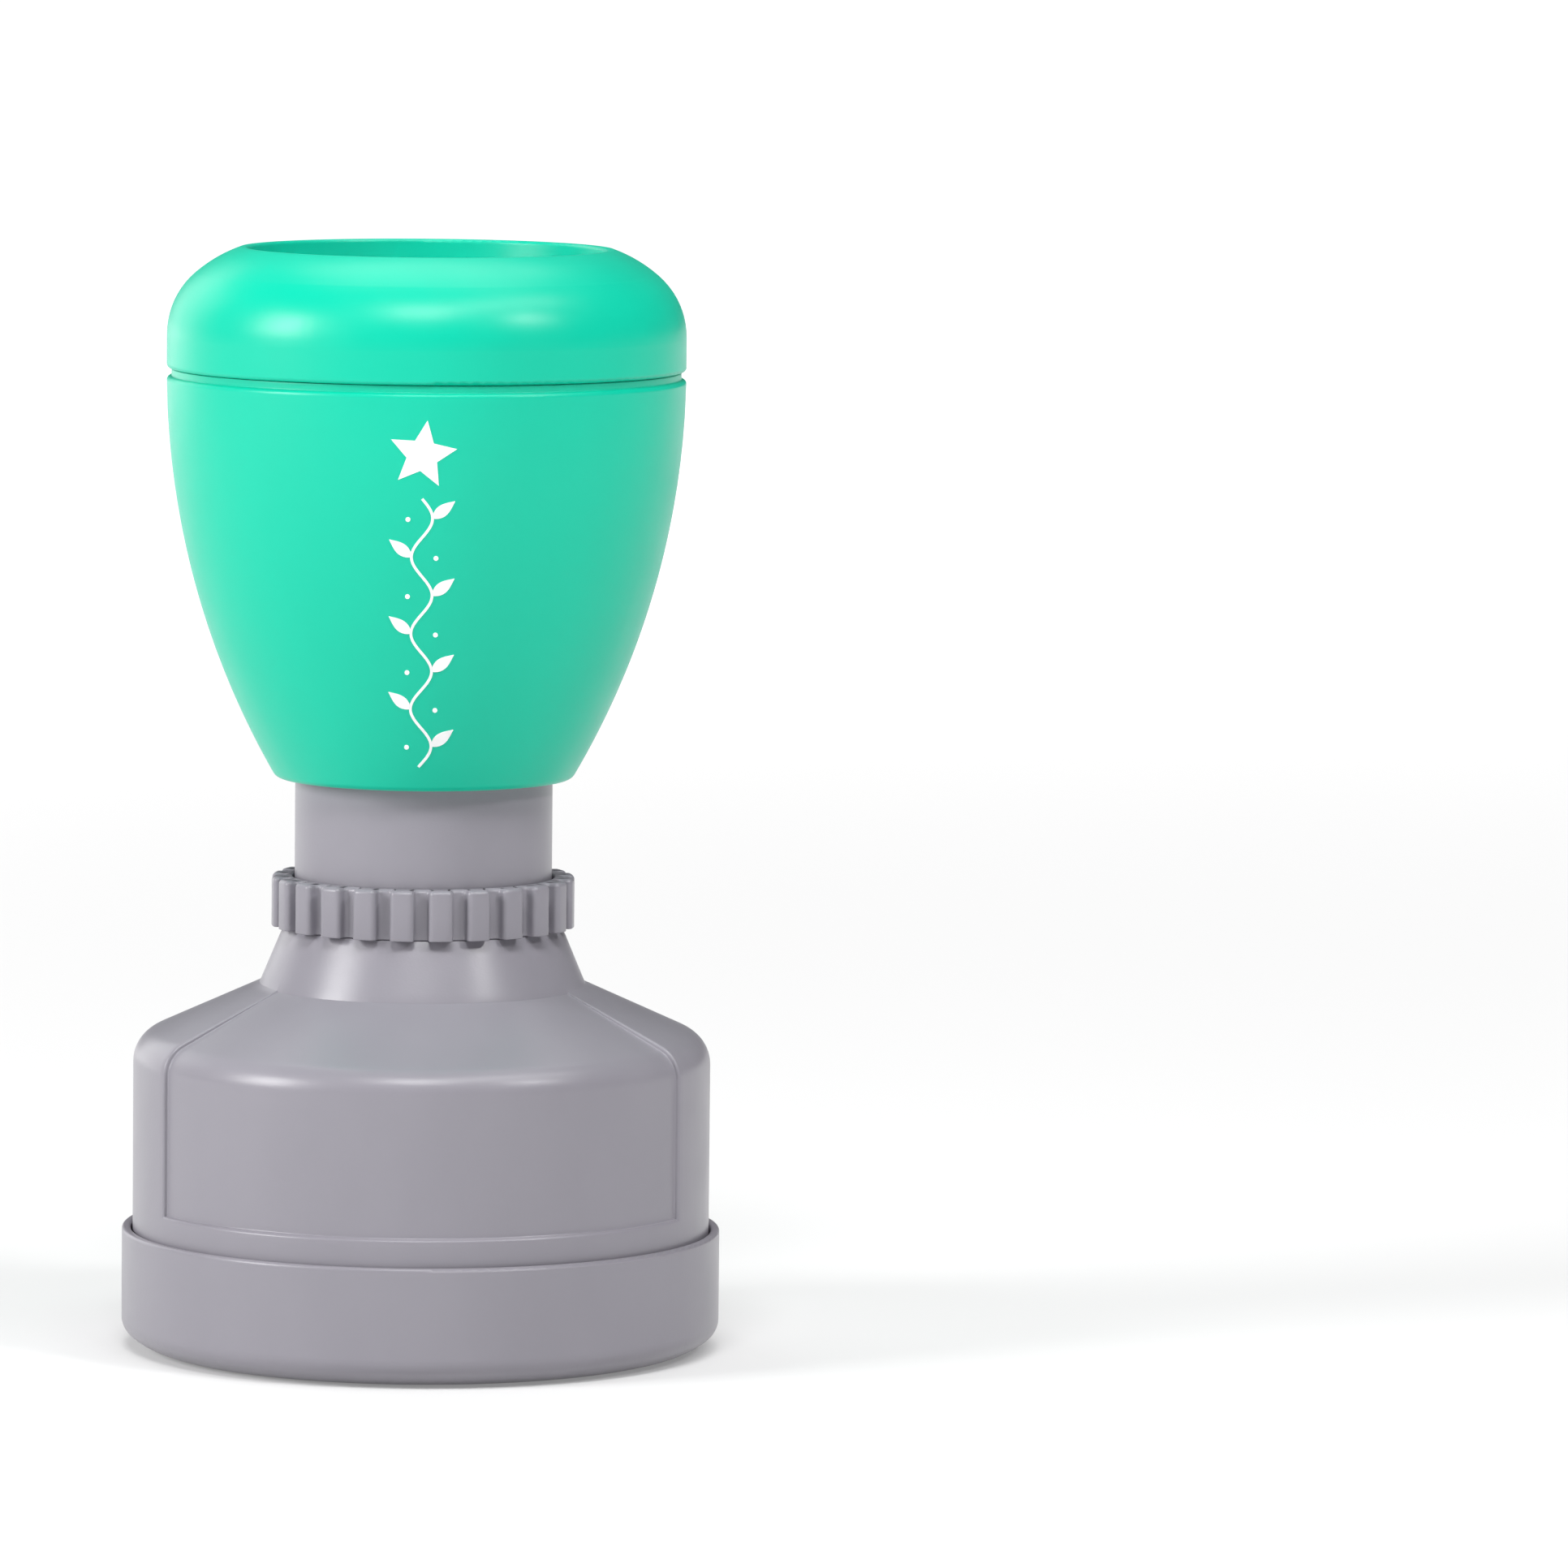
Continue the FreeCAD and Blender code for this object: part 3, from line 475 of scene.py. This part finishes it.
def add_star(solid, place, centre, radius, turn, waist=0.42, hollow=0.0, steps=1):
    """Star as a thin solid; hollow is the size of the star-shaped hole, as a share."""
    outline = star_points(radius, waist, turn, steps)
    inner = hollow or STAR_MIDDLE
    layers = 2 if hollow else STAR_LAYERS
    shares = [inner + (1 - inner) * i / (layers - 1) for i in range(layers)]
    top = [[place(centre[0] + x * s, centre[1] + y * s, 1) for x, y in outline] for s in shares]
    bottom = [[place(centre[0] + x * s, centre[1] + y * s, 0) for x, y in outline] for s in shares]
    if hollow:
        solid.add_rings(top + bottom[::-1], True)
    else:
        solid.add_rings(top + bottom[::-1], False)


def add_dot(solid, place, centre, radius, sides=16):
    rim = [(centre[0] + radius * math.cos(math.tau * i / sides),
            centre[1] + radius * math.sin(math.tau * i / sides)) for i in range(sides)]
    solid.add_rings([[place(x, y, share) for x, y in rim] for share in (0, 1)], False)


def add_stroke(solid, place, path, width):
    """Ribbon of a width along a path of (across, along) points, with square edges."""
    rings = []
    for i, (x, y) in enumerate(path):
        before, after = path[max(i - 1, 0)], path[min(i + 1, len(path) - 1)]
        dx, dy = after[0] - before[0], after[1] - before[1]
        scale = width / 2 / math.hypot(dx, dy)
        sx, sy = -dy * scale, dx * scale
        rings.append([place(x - sx, y - sy, 0), place(x + sx, y + sy, 0),
                      place(x + sx, y + sy, 1), place(x - sx, y - sy, 1)])
    solid.add_rings(rings, False)


# ------------------------------------------------------------------ toothed adjusting ring

TEETH = 24
FIRST_GAP = -75.6           # degrees from +X
TOOTH_DEPTH = 1.1
GAP_HALF = 0.60
TOOTH_ROUND = 0.42
GAP_ROUND = 0.30
RING_TOP_ROUND = 0.38
RING_COLLAR = 10.6
RING_BORE = 9.5
RING_TOP_BORE = 10.93
RING_HEIGHT = 4.2
THREAD_TOP_DROP = 2.3       # from the ring's top down to the end of its thread
BEAD_DROP = 1.85
BEAD = 0.3
TOOTH_DROP = 0.05           # how far a tooth's rounded corner starts below its crown
GAP_STEP = 0.15             # straight piece of a gap's wall above its root's rounding
CROWN_STEPS = 6
RING_FOOT_ROUND = 0.08
RING_MOUTH_ROUND = 0.2
EVEN_SHARE = 0.3            # how far the round rings' points are evened out


def tooth_outline(radius):
    """Closed outline of the toothed rim as (angle, radius) points."""
    root = radius - TOOTH_DEPTH
    corner = arc_points((0, 0), TOOTH_ROUND, 90, 0, 7)
    side = [(GAP_HALF + TOOTH_ROUND - x, radius - TOOTH_ROUND + y - TOOTH_DROP) for x, y in corner]
    side += [(GAP_HALF, root + GAP_ROUND + GAP_STEP)]
    fillet = arc_points((0, 0), GAP_ROUND, 0, 90, 5)
    side += [(GAP_HALF - GAP_ROUND + x, root + GAP_ROUND - y) for x, y in fillet]
    outline = []
    pitch = 360 / TEETH
    for tooth in range(TEETH):
        middle = math.radians(FIRST_GAP + pitch * tooth)
        gap = [(-s, r) for s, r in side] + [(s, r) for s, r in reversed(side)]
        outline += [(middle + math.atan2(s, r), math.hypot(s, r)) for s, r in gap]
        half_gap = math.atan2(GAP_HALF + TOOTH_ROUND, radius)
        crown = math.radians(pitch) - 2 * half_gap
        outline += [(middle + half_gap + crown * i / CROWN_STEPS, radius)
                    for i in range(1, CROWN_STEPS)]
    return outline


def inset(outline, amount):
    """The outline as (x, y) points moved inwards, square to itself."""
    points = [Vector((r * math.cos(a), r * math.sin(a))) for a, r in outline]
    moved = []
    for i, point in enumerate(points):
        along = points[(i + 1) % len(points)] - points[i - 1]
        normal = Vector((along.y, -along.x)).normalized()
        moved.append(point - normal * amount)
    return moved


def rising_angles(outline):
    """One angle per outline point, always rising, for the rings that have no teeth.

    The outline's own angles step back along a gap's walls, and would fold a round face over.
    """
    count = len(outline)
    start = outline[0][0]
    return [a * (1 - EVEN_SHARE) + (start + math.tau * i / count) * EVEN_SHARE
            for i, a in enumerate(sorted(a for a, _ in outline))]


def add_ring(materials):
    low, high = span("adjusting_ring")
    top, radius = high.z, high.x
    bottom = top - RING_HEIGHT
    outline = tooth_outline(radius)
    round_angles = rising_angles(outline)
    rings = []

    def toothed(z, amount):
        rings.append([(p.x, p.y, z) for p in inset(outline, amount)])

    def circle(r, z):
        rings.append([(r * math.cos(a), r * math.sin(a), z) for a in round_angles])

    foot_centre = (-RING_FOOT_ROUND, bottom + RING_FOOT_ROUND)
    for x, z in arc_points(foot_centre, RING_FOOT_ROUND, 270, 360, 4):
        toothed(z, -x)
    for x, z in arc_points((-RING_TOP_ROUND, top - RING_TOP_ROUND), RING_TOP_ROUND, 0, 90, 8):
        toothed(z, -x)
    mouth_centre = (RING_TOP_BORE + RING_MOUTH_ROUND, top - RING_MOUTH_ROUND)
    for r, z in arc_points(mouth_centre, RING_MOUTH_ROUND, 90, 180, 5):
        circle(r, z)
    thread_top = top - THREAD_TOP_DROP
    bead = bottom - BEAD_DROP
    for r, z in ((RING_TOP_BORE, thread_top), (RING_BORE, thread_top), (RING_BORE, low.z),
                 (RING_COLLAR, low.z), (RING_COLLAR, bead - BEAD), (RING_COLLAR + BEAD, bead),
                 (RING_COLLAR, bead + BEAD), (RING_COLLAR, bottom)):
        circle(r, z)
    solid = Solid()
    solid.add_rings(rings, True)
    add_piece("toothed_ring", solid, materials["grey_rounded"], "ring",
              ("adjusting_ring",))


# ------------------------------------------------------------------ outer shell and its panels

SHELL_RADIUS = span("outer_shell")[1].x
SHELL_WALL = 1.5
SHELL_LIP_ROUND = 0.2
SKIRT_LEVELS = (8.0, 10.0, 11.6)
SHOULDER_Z = 25.8
SHOULDER_ANGLE = math.radians(24.4)
SHOULDER_ROUND = 2.95
NECK_BASE = 13.59
NECK_TOP = 11.6
PANEL_Z = 12.3
PANEL_DEPTH = 0.4
PANEL_HALF_ANGLE = 62.0
PANEL_NECK_SHARE = 0.3      # how much of its depth the panel still has at the neck
PANEL_RIM = 0.25            # rounding of the panel's rim
PANEL_FILLET = 0.15         # and of its floor's edge
GUIDE_BORE = 9.6
GUIDE_OUTER = 12.3
GUIDE_BOTTOM = 20.6
KEYWAY_RADIUS = 11.05
KEYWAY_HALF = 1.65
KEYWAY_TOP = 29.0
COUNTERBORE = 10.7
COUNTERBORE_FLOOR = 32.85
SNAP_GROOVE = 11.05
SNAP_GROOVE_Z = 33.55
SNAP_GROOVE_HALF = 0.45
NECK_LIP_ROUND = 0.12
NECK_CORNER = 0.05          # small step where the slope meets the neck
NECK_ROOT_IN, NECK_ROOT_UP = 0.02, 0.06         # the neck's first ring, beside that step
EVEN_STEP = 2               # degrees between the plain points round the shell
EVEN_CLEAR = 0.4            # degrees that they keep away from the fine points
EDGE_SLACK = 0.15           # degrees beside a keyway's side to its next point
KEYWAY_SLACK = 0.05         # degrees within which a point counts as in the keyway
KEYWAY_LEDGE = 0.02
PANEL_STRAIGHT = 0.5        # from the panel's foot to the first ring above it
RIM_EDGE = -0.0005          # just outside the panel's edge, where the rim ends


def panel_share(distance):
    """How deep the panel is, 0 to 1, at a distance inwards from its edge in millimetres."""
    if distance <= -PANEL_RIM:
        return 0.0
    if distance < 0:
        drop = PANEL_RIM - math.sqrt(max(PANEL_RIM ** 2 - (distance + PANEL_RIM) ** 2, 0))
        return min(drop, PANEL_DEPTH - PANEL_FILLET) / PANEL_DEPTH
    if distance < PANEL_FILLET:
        rise = PANEL_FILLET - math.sqrt(max(PANEL_FILLET ** 2 - (PANEL_FILLET - distance) ** 2, 0))
        return 1 - rise / PANEL_DEPTH
    return 1.0


def edge_steps():
    """Distances across a panel's edge that follow its rounded rim and its fillet."""
    rim = [-PANEL_RIM * (1 - math.sin(math.radians(a))) for a in (0, 18, 36, 54, 72, 84)]
    fillet = [PANEL_FILLET * (1 - math.cos(math.radians(a))) for a in (10, 30, 50, 70, 90)]
    return rim + [RIM_EDGE] + fillet


def shoulder_profile(offset, neck_z):
    """Skirt, rounded shoulder and slope, offset inwards, from the panel's foot to the neck."""
    radius = SHELL_RADIUS - offset
    corner = SHOULDER_Z + offset * math.tan(SHOULDER_ANGLE) - offset / math.cos(SHOULDER_ANGLE)
    rounding = SHOULDER_ROUND - offset
    reach = rounding * math.tan((math.pi / 2 - SHOULDER_ANGLE) / 2)
    centre = (radius - rounding, corner - reach)
    arc = arc_points(centre, rounding, 0, 90 - math.degrees(SHOULDER_ANGLE), 12)
    slope = spread_line(arc[-1], (NECK_BASE + NECK_CORNER, neck_z), 12)[1:]
    return spread_line((radius, PANEL_Z + PANEL_STRAIGHT), arc[0], 8)[:-1] + arc + slope


def signed(angle):
    """The same angle between -180 and 180 degrees."""
    return (angle + 180) % 360 - 180


def keyway_edge():
    """Degrees from a keyway's middle to its side, wide enough where it opens into the bore."""
    return math.degrees(math.asin(KEYWAY_HALF / GUIDE_BORE))


def shell_angles():
    """Angles round the shell in degrees: even steps, with fine ones at panel edges and keyways."""
    fine = []
    for side in (-90, 90):
        for edge, inwards in ((side - PANEL_HALF_ANGLE, 1), (side + PANEL_HALF_ANGLE, -1)):
            fine += [edge + inwards * math.degrees(step / SHELL_RADIUS) for step in edge_steps()]
    key_edge = keyway_edge()
    for side in (0, 180):
        fine += [side + sign * (key_edge + extra) for sign in (-1, 1) for extra in (0, EDGE_SLACK)]
    even = [a for a in range(-180, 180, EVEN_STEP)
            if all(abs(signed(a - f)) > EVEN_CLEAR for f in fine)]
    return sorted([signed(a) for a in fine] + even)


def panel_inward(angle):
    """Distance in millimetres inwards from the nearer panel's side edge."""
    off_middle = min(abs(signed(angle - side)) for side in (-90, 90))
    return math.radians(PANEL_HALF_ANGLE - off_middle) * SHELL_RADIUS


def add_shell(materials):
    low, high = span("outer_shell")
    bottom, top = low.z, high.z
    inner = SHELL_RADIUS - SHELL_WALL
    slope = math.tan(SHOULDER_ANGLE)
    neck_z = SHOULDER_Z + (SHELL_RADIUS - NECK_BASE) * slope
    drop = PANEL_DEPTH / math.cos(SHOULDER_ANGLE)
    angles = shell_angles()
    rings = []

    def ring_of(place):
        ring = []
        for angle in angles:
            r, z = place(angle)
            a = math.radians(angle)
            ring.append((r * math.cos(a), r * math.sin(a), z))
        rings.append(ring)

    def plain(r, z):
        ring_of(lambda angle: (r, z))

    lip = SHELL_LIP_ROUND
    for r, z in arc_points((SHELL_RADIUS - lip, bottom + lip), lip, 270, 360, 5):
        plain(r, z)
    for z in SKIRT_LEVELS:
        plain(SHELL_RADIUS, z)
    for step in edge_steps():
        def foot(angle, step=step):
            share = panel_share(min(panel_inward(angle), step))
            return SHELL_RADIUS - PANEL_DEPTH * share, PANEL_Z + step
        ring_of(foot)
    slope_end = neck_z - NECK_CORNER * slope
    crest = shoulder_profile(0, slope_end)
    floor = shoulder_profile(PANEL_DEPTH, slope_end - drop * PANEL_NECK_SHARE)
    for outer, sunk in zip(crest, floor):
        def skin(angle, outer=outer, sunk=sunk):
            share = panel_share(panel_inward(angle))
            return tuple(o + (s - o) * share for o, s in zip(outer, sunk))
        ring_of(skin)
    plain(NECK_BASE - NECK_ROOT_IN, neck_z + NECK_ROOT_UP)
    for r, z in spread_line((NECK_BASE, neck_z), (NECK_TOP, top), 8)[1:-1]:
        plain(r, z)
    neck_lip = (NECK_TOP - NECK_LIP_ROUND, top - NECK_LIP_ROUND)
    for r, z in arc_points(neck_lip, NECK_LIP_ROUND, 20, 90, 4):
        plain(r, z)
    groove_low, groove_high = SNAP_GROOVE_Z - SNAP_GROOVE_HALF, SNAP_GROOVE_Z + SNAP_GROOVE_HALF
    for r, z in ((COUNTERBORE, top), (COUNTERBORE, groove_high), (SNAP_GROOVE, groove_high),
                 (SNAP_GROOVE, groove_low), (COUNTERBORE, groove_low),
                 (COUNTERBORE, COUNTERBORE_FLOOR), (GUIDE_BORE, COUNTERBORE_FLOOR),
                 (GUIDE_BORE, KEYWAY_TOP + KEYWAY_LEDGE)):
        plain(r, z)
    key_edge = keyway_edge() + KEYWAY_SLACK
    for z in (KEYWAY_TOP, GUIDE_BOTTOM):
        def bore(angle, z=z):
            in_keyway = min(abs(angle), 180 - abs(angle)) <= key_edge
            return (KEYWAY_RADIUS if in_keyway else GUIDE_BORE), z
        ring_of(bore)
    inner_corner = SHOULDER_Z + SHELL_WALL * slope - SHELL_WALL / math.cos(SHOULDER_ANGLE)
    plain(GUIDE_OUTER, GUIDE_BOTTOM)
    plain(GUIDE_OUTER, inner_corner + (inner - GUIDE_OUTER) * slope)
    plain(inner, inner_corner)
    for r, z in arc_points((inner + lip, bottom + lip), lip, 180, 270, 5)[:-1]:
        plain(r, z)
    solid = Solid()
    solid.add_rings(rings, True)
    add_piece("bell_shell", solid, materials["grey_rounded"], "shell",
              ("outer_shell",))


# ------------------------------------------------------------------ print on the handle

BARREL_FOOT = (12.35, 47.8)
BARREL_LIP = (21.57, 81.2)
BARREL_BOW = 67.5
PRINT_LIFT = 0.035
PRINT_SINK = 0.015
PRINT_CENTRE = -0.3         # across the front, to the left of the middle
PRINT_STAR_Z, PRINT_STAR = 76.2, 2.85
VINE_TOP, VINE_BOTTOM = 72.6, 50.0
VINE_WAVE, VINE_SWING = 6.4, 0.85
VINE_WIDTH = 0.22
VINE_STEPS = 240
LEAVES = 7
LEAF_LENGTH, LEAF_WIDTH, LEAF_TURN = 2.3, 0.95, 52
LEAF_STEPS = 12
LEAF_TIP = 0.02             # least half width, so that the tip stays closed
BERRY, BERRY_REACH, BERRY_DROP = 0.2, 1.15, 0.1


def barrel_centre():
    """Centre of the arc that bows the barrel's side out."""
    chord = Vector(BARREL_LIP) - Vector(BARREL_FOOT)
    side = Vector((-chord.y, chord.x)).normalized()
    reach = math.sqrt(BARREL_BOW ** 2 - (chord.length / 2) ** 2)
    return Vector(BARREL_FOOT) + chord / 2 + side * reach


def on_barrel(across, height, share):
    """Point on the barrel's front, an arc length across from the middle, just above its skin."""
    centre = barrel_centre()
    lift = share * (PRINT_LIFT + PRINT_SINK) - PRINT_SINK
    side = math.sqrt(BARREL_BOW ** 2 - (height - centre.y) ** 2)
    skin = Vector((centre.x + side, height))
    out = (skin - centre).normalized() * lift
    angle = across / skin.x - math.pi / 2
    radius = skin.x + out.x
    return radius * math.cos(angle), radius * math.sin(angle), height + out.y


def add_leaf(solid, place, root, length, width, turn):
    """Pointed leaf from its root, turned from straight up, in degrees."""
    up = Vector((math.sin(math.radians(turn)), math.cos(math.radians(turn))))
    side = Vector((up.y, -up.x))
    rings = []
    for i in range(LEAF_STEPS + 1):
        share = i / LEAF_STEPS
        half = max(width / 2 * math.sin(math.pi * share ** 0.8), LEAF_TIP)
        middle = Vector(root) + up * (length * share)
        edge_a, edge_b = middle - side * half, middle + side * half
        rings.append([place(*edge_a, 0), place(*middle, 0), place(*edge_b, 0),
                      place(*edge_b, 1), place(*middle, 1), place(*edge_a, 1)])
    solid.add_rings(rings, False)


def add_print(materials):
    """A star over a leafy vine, in white, down the front of the handle."""
    solid = Solid()
    add_star(solid, on_barrel, (PRINT_CENTRE, PRINT_STAR_Z), PRINT_STAR, turn=8, waist=0.46,
             steps=4)
    path = []
    for i in range(VINE_STEPS + 1):
        height = VINE_TOP + (VINE_BOTTOM - VINE_TOP) * i / VINE_STEPS
        phase = math.tau * (VINE_TOP - height) / VINE_WAVE
        path.append((PRINT_CENTRE + VINE_SWING * math.sin(phase), height))
    add_stroke(solid, on_barrel, path, VINE_WIDTH)
    for i in range(LEAVES):
        side = 1 if i % 2 == 0 else -1
        height = VINE_TOP - VINE_WAVE * (i + 0.5) / 2
        root = (PRINT_CENTRE + side * VINE_SWING, height)
        add_leaf(solid, on_barrel, root, LEAF_LENGTH, LEAF_WIDTH, side * LEAF_TURN)
        add_dot(solid, on_barrel, (PRINT_CENTRE - side * BERRY_REACH, height - BERRY_DROP), BERRY)
    add_piece("handle_print", solid, materials["white_print"], "plunger")


# ------------------------------------------------------------------ stars of the imprint

STARS = (   # across, along, radius, turn, hollow share
    (-9.2, 2.6, 4.1, -12, 0.0), (-3.4, -4.6, 3.4, 20, 0.0), (1.1, 4.4, 5.2, 6, 0.74),
    (1.1, 4.4, 2.9, 6, 0.0), (8.6, -2.9, 4.4, -20, 0.70), (7.4, 7.6, 2.1, 15, 0.0),
    (-9.4, -8.2, 2.2, 30, 0.0), (2.6, -9.6, 2.7, -8, 0.62))
STARS_REACH = 14.0          # radius of the round field that the stars are drawn in
LABEL_MARGIN = 1.4
INK_SINK, INK_LIFT = 0.01, 0.02
DIE_RADIUS = 19.9
DIE_ROUND = 0.5
DIE_SIDES = 128
DIE_FLANGE_Z = 11.45
DIE_FLANGE = 0.5
DIE_BACK_RADIUS = 20.1
DIE_MARGIN = 1.8
DIE_RING_OUTER, DIE_RING_INNER = 0.9, 1.35      # inwards from the die's edge
RELIEF = 0.6
RELIEF_SINK = 0.1           # how far the raised print reaches into the ground


def add_stars(solid, place, size, mirrored):
    for x, y, radius, turn, hollow in STARS:
        side = -1 if mirrored else 1
        centre = (side * x * size, y * size)
        add_star(solid, place, centre, radius * size, side * turn, hollow=hollow, steps=3)


def add_label(materials):
    """The imprint shown on the paper under the window."""
    high = span("index_label")[1]
    ink = flat_place(high.z - INK_SINK, high.z + INK_LIFT)
    solid = Solid()
    add_stars(solid, ink, (high.x - LABEL_MARGIN) / STARS_REACH, False)
    add_piece("label_print", solid, materials["green_print"], "plunger")


def add_die(materials):
    """Foam die with its raised stars, which print; the ground between them stands back."""
    low, high = span("stamp_die")
    ground = low.z + RELIEF
    base = ground + RELIEF_SINK
    angles = [math.tau * i / DIE_SIDES for i in range(DIE_SIDES)]

    def circles(profile):
        return [[(r * math.cos(a), r * math.sin(a), z) for a in angles] for r, z in profile]

    profile = [(DIE_RADIUS * share, ground) for share in (0.05, 0.3, 0.6, 0.85)]
    profile += arc_points((DIE_RADIUS - DIE_ROUND, ground + DIE_ROUND), DIE_ROUND, 270, 360, 6)
    profile += [(DIE_RADIUS, DIE_FLANGE_Z), (high.x, DIE_FLANGE_Z),
                (high.x, DIE_FLANGE_Z + DIE_FLANGE),
                (DIE_BACK_RADIUS, DIE_FLANGE_Z + DIE_FLANGE), (DIE_BACK_RADIUS, high.z)]
    solid = Solid()
    solid.add_rings(circles(profile), False)
    size = (DIE_RADIUS - DIE_MARGIN) / STARS_REACH
    add_stars(solid, flat_place(base, low.z), size, True)
    outer, inner = DIE_RADIUS - DIE_RING_OUTER, DIE_RADIUS - DIE_RING_INNER
    solid.add_rings(circles([(outer, base), (outer, low.z), (inner, low.z), (inner, base)]), True)
    piece = add_piece("foam_die", solid, materials["die_foam"], "plunger",
                      ("stamp_die",))


# ------------------------------------------------------------------ return spring

SPRING_FLOOR = 23.4
SPRING_TOP = 64.0
SPRING_MEAN = 6.0
WIRE = 0.9
WIRE_SIDES = 14
LIVE_TURNS = 8.5
DEAD_TURNS = 1.0
CLOSED_PITCH = 1.05         # pitch of a closed coil, in wires
STEPS_PER_TURN = 60
SEAT_GAP_LOW, SEAT_GAP_HIGH = 0.05, 0.1


def add_spring(materials):
    """Compression spring with a closed coil at each end."""
    low = SPRING_FLOOR + WIRE / 2 + SEAT_GAP_LOW
    high = SPRING_TOP - WIRE / 2 - SEAT_GAP_HIGH
    closed = WIRE * CLOSED_PITCH
    turns = LIVE_TURNS + 2 * DEAD_TURNS
    steps = int(turns * STEPS_PER_TURN)
    live_low, live_high = low + closed * DEAD_TURNS, high - closed * DEAD_TURNS
    rings = []
    for i in range(steps + 1):
        turn = turns * i / steps
        if turn < DEAD_TURNS:
            z, pitch = low + closed * turn, closed
        elif turn > turns - DEAD_TURNS:
            z, pitch = high - closed * (turns - turn), closed
        else:
            pitch = (live_high - live_low) / LIVE_TURNS
            z = live_low + pitch * (turn - DEAD_TURNS)
        angle = math.tau * turn
        out = Vector((math.cos(angle), math.sin(angle), 0))
        along = Vector((-out.y, out.x, pitch / (math.tau * SPRING_MEAN))).normalized()
        up = out.cross(along).normalized()
        middle = out * SPRING_MEAN + Vector((0, 0, z))
        rings.append([tuple(middle + (out * math.cos(a) + up * math.sin(a)) * (WIRE / 2))
                      for a in (math.tau * k / WIRE_SIDES for k in range(WIRE_SIDES))])
    solid = Solid()
    solid.add_rings(rings, False)
    piece = add_piece("coil_spring", solid, materials["spring_steel"], "tube",
                      ("return_spring",))
    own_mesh(piece)


add_camera()
add_stage()
materials = make_materials()
dress(materials)
add_shell(materials)
add_ring(materials)
add_print(materials)
add_label(materials)
add_die(materials)
add_spring(materials)
bpy.context.scene.view_settings.view_transform = "Standard"
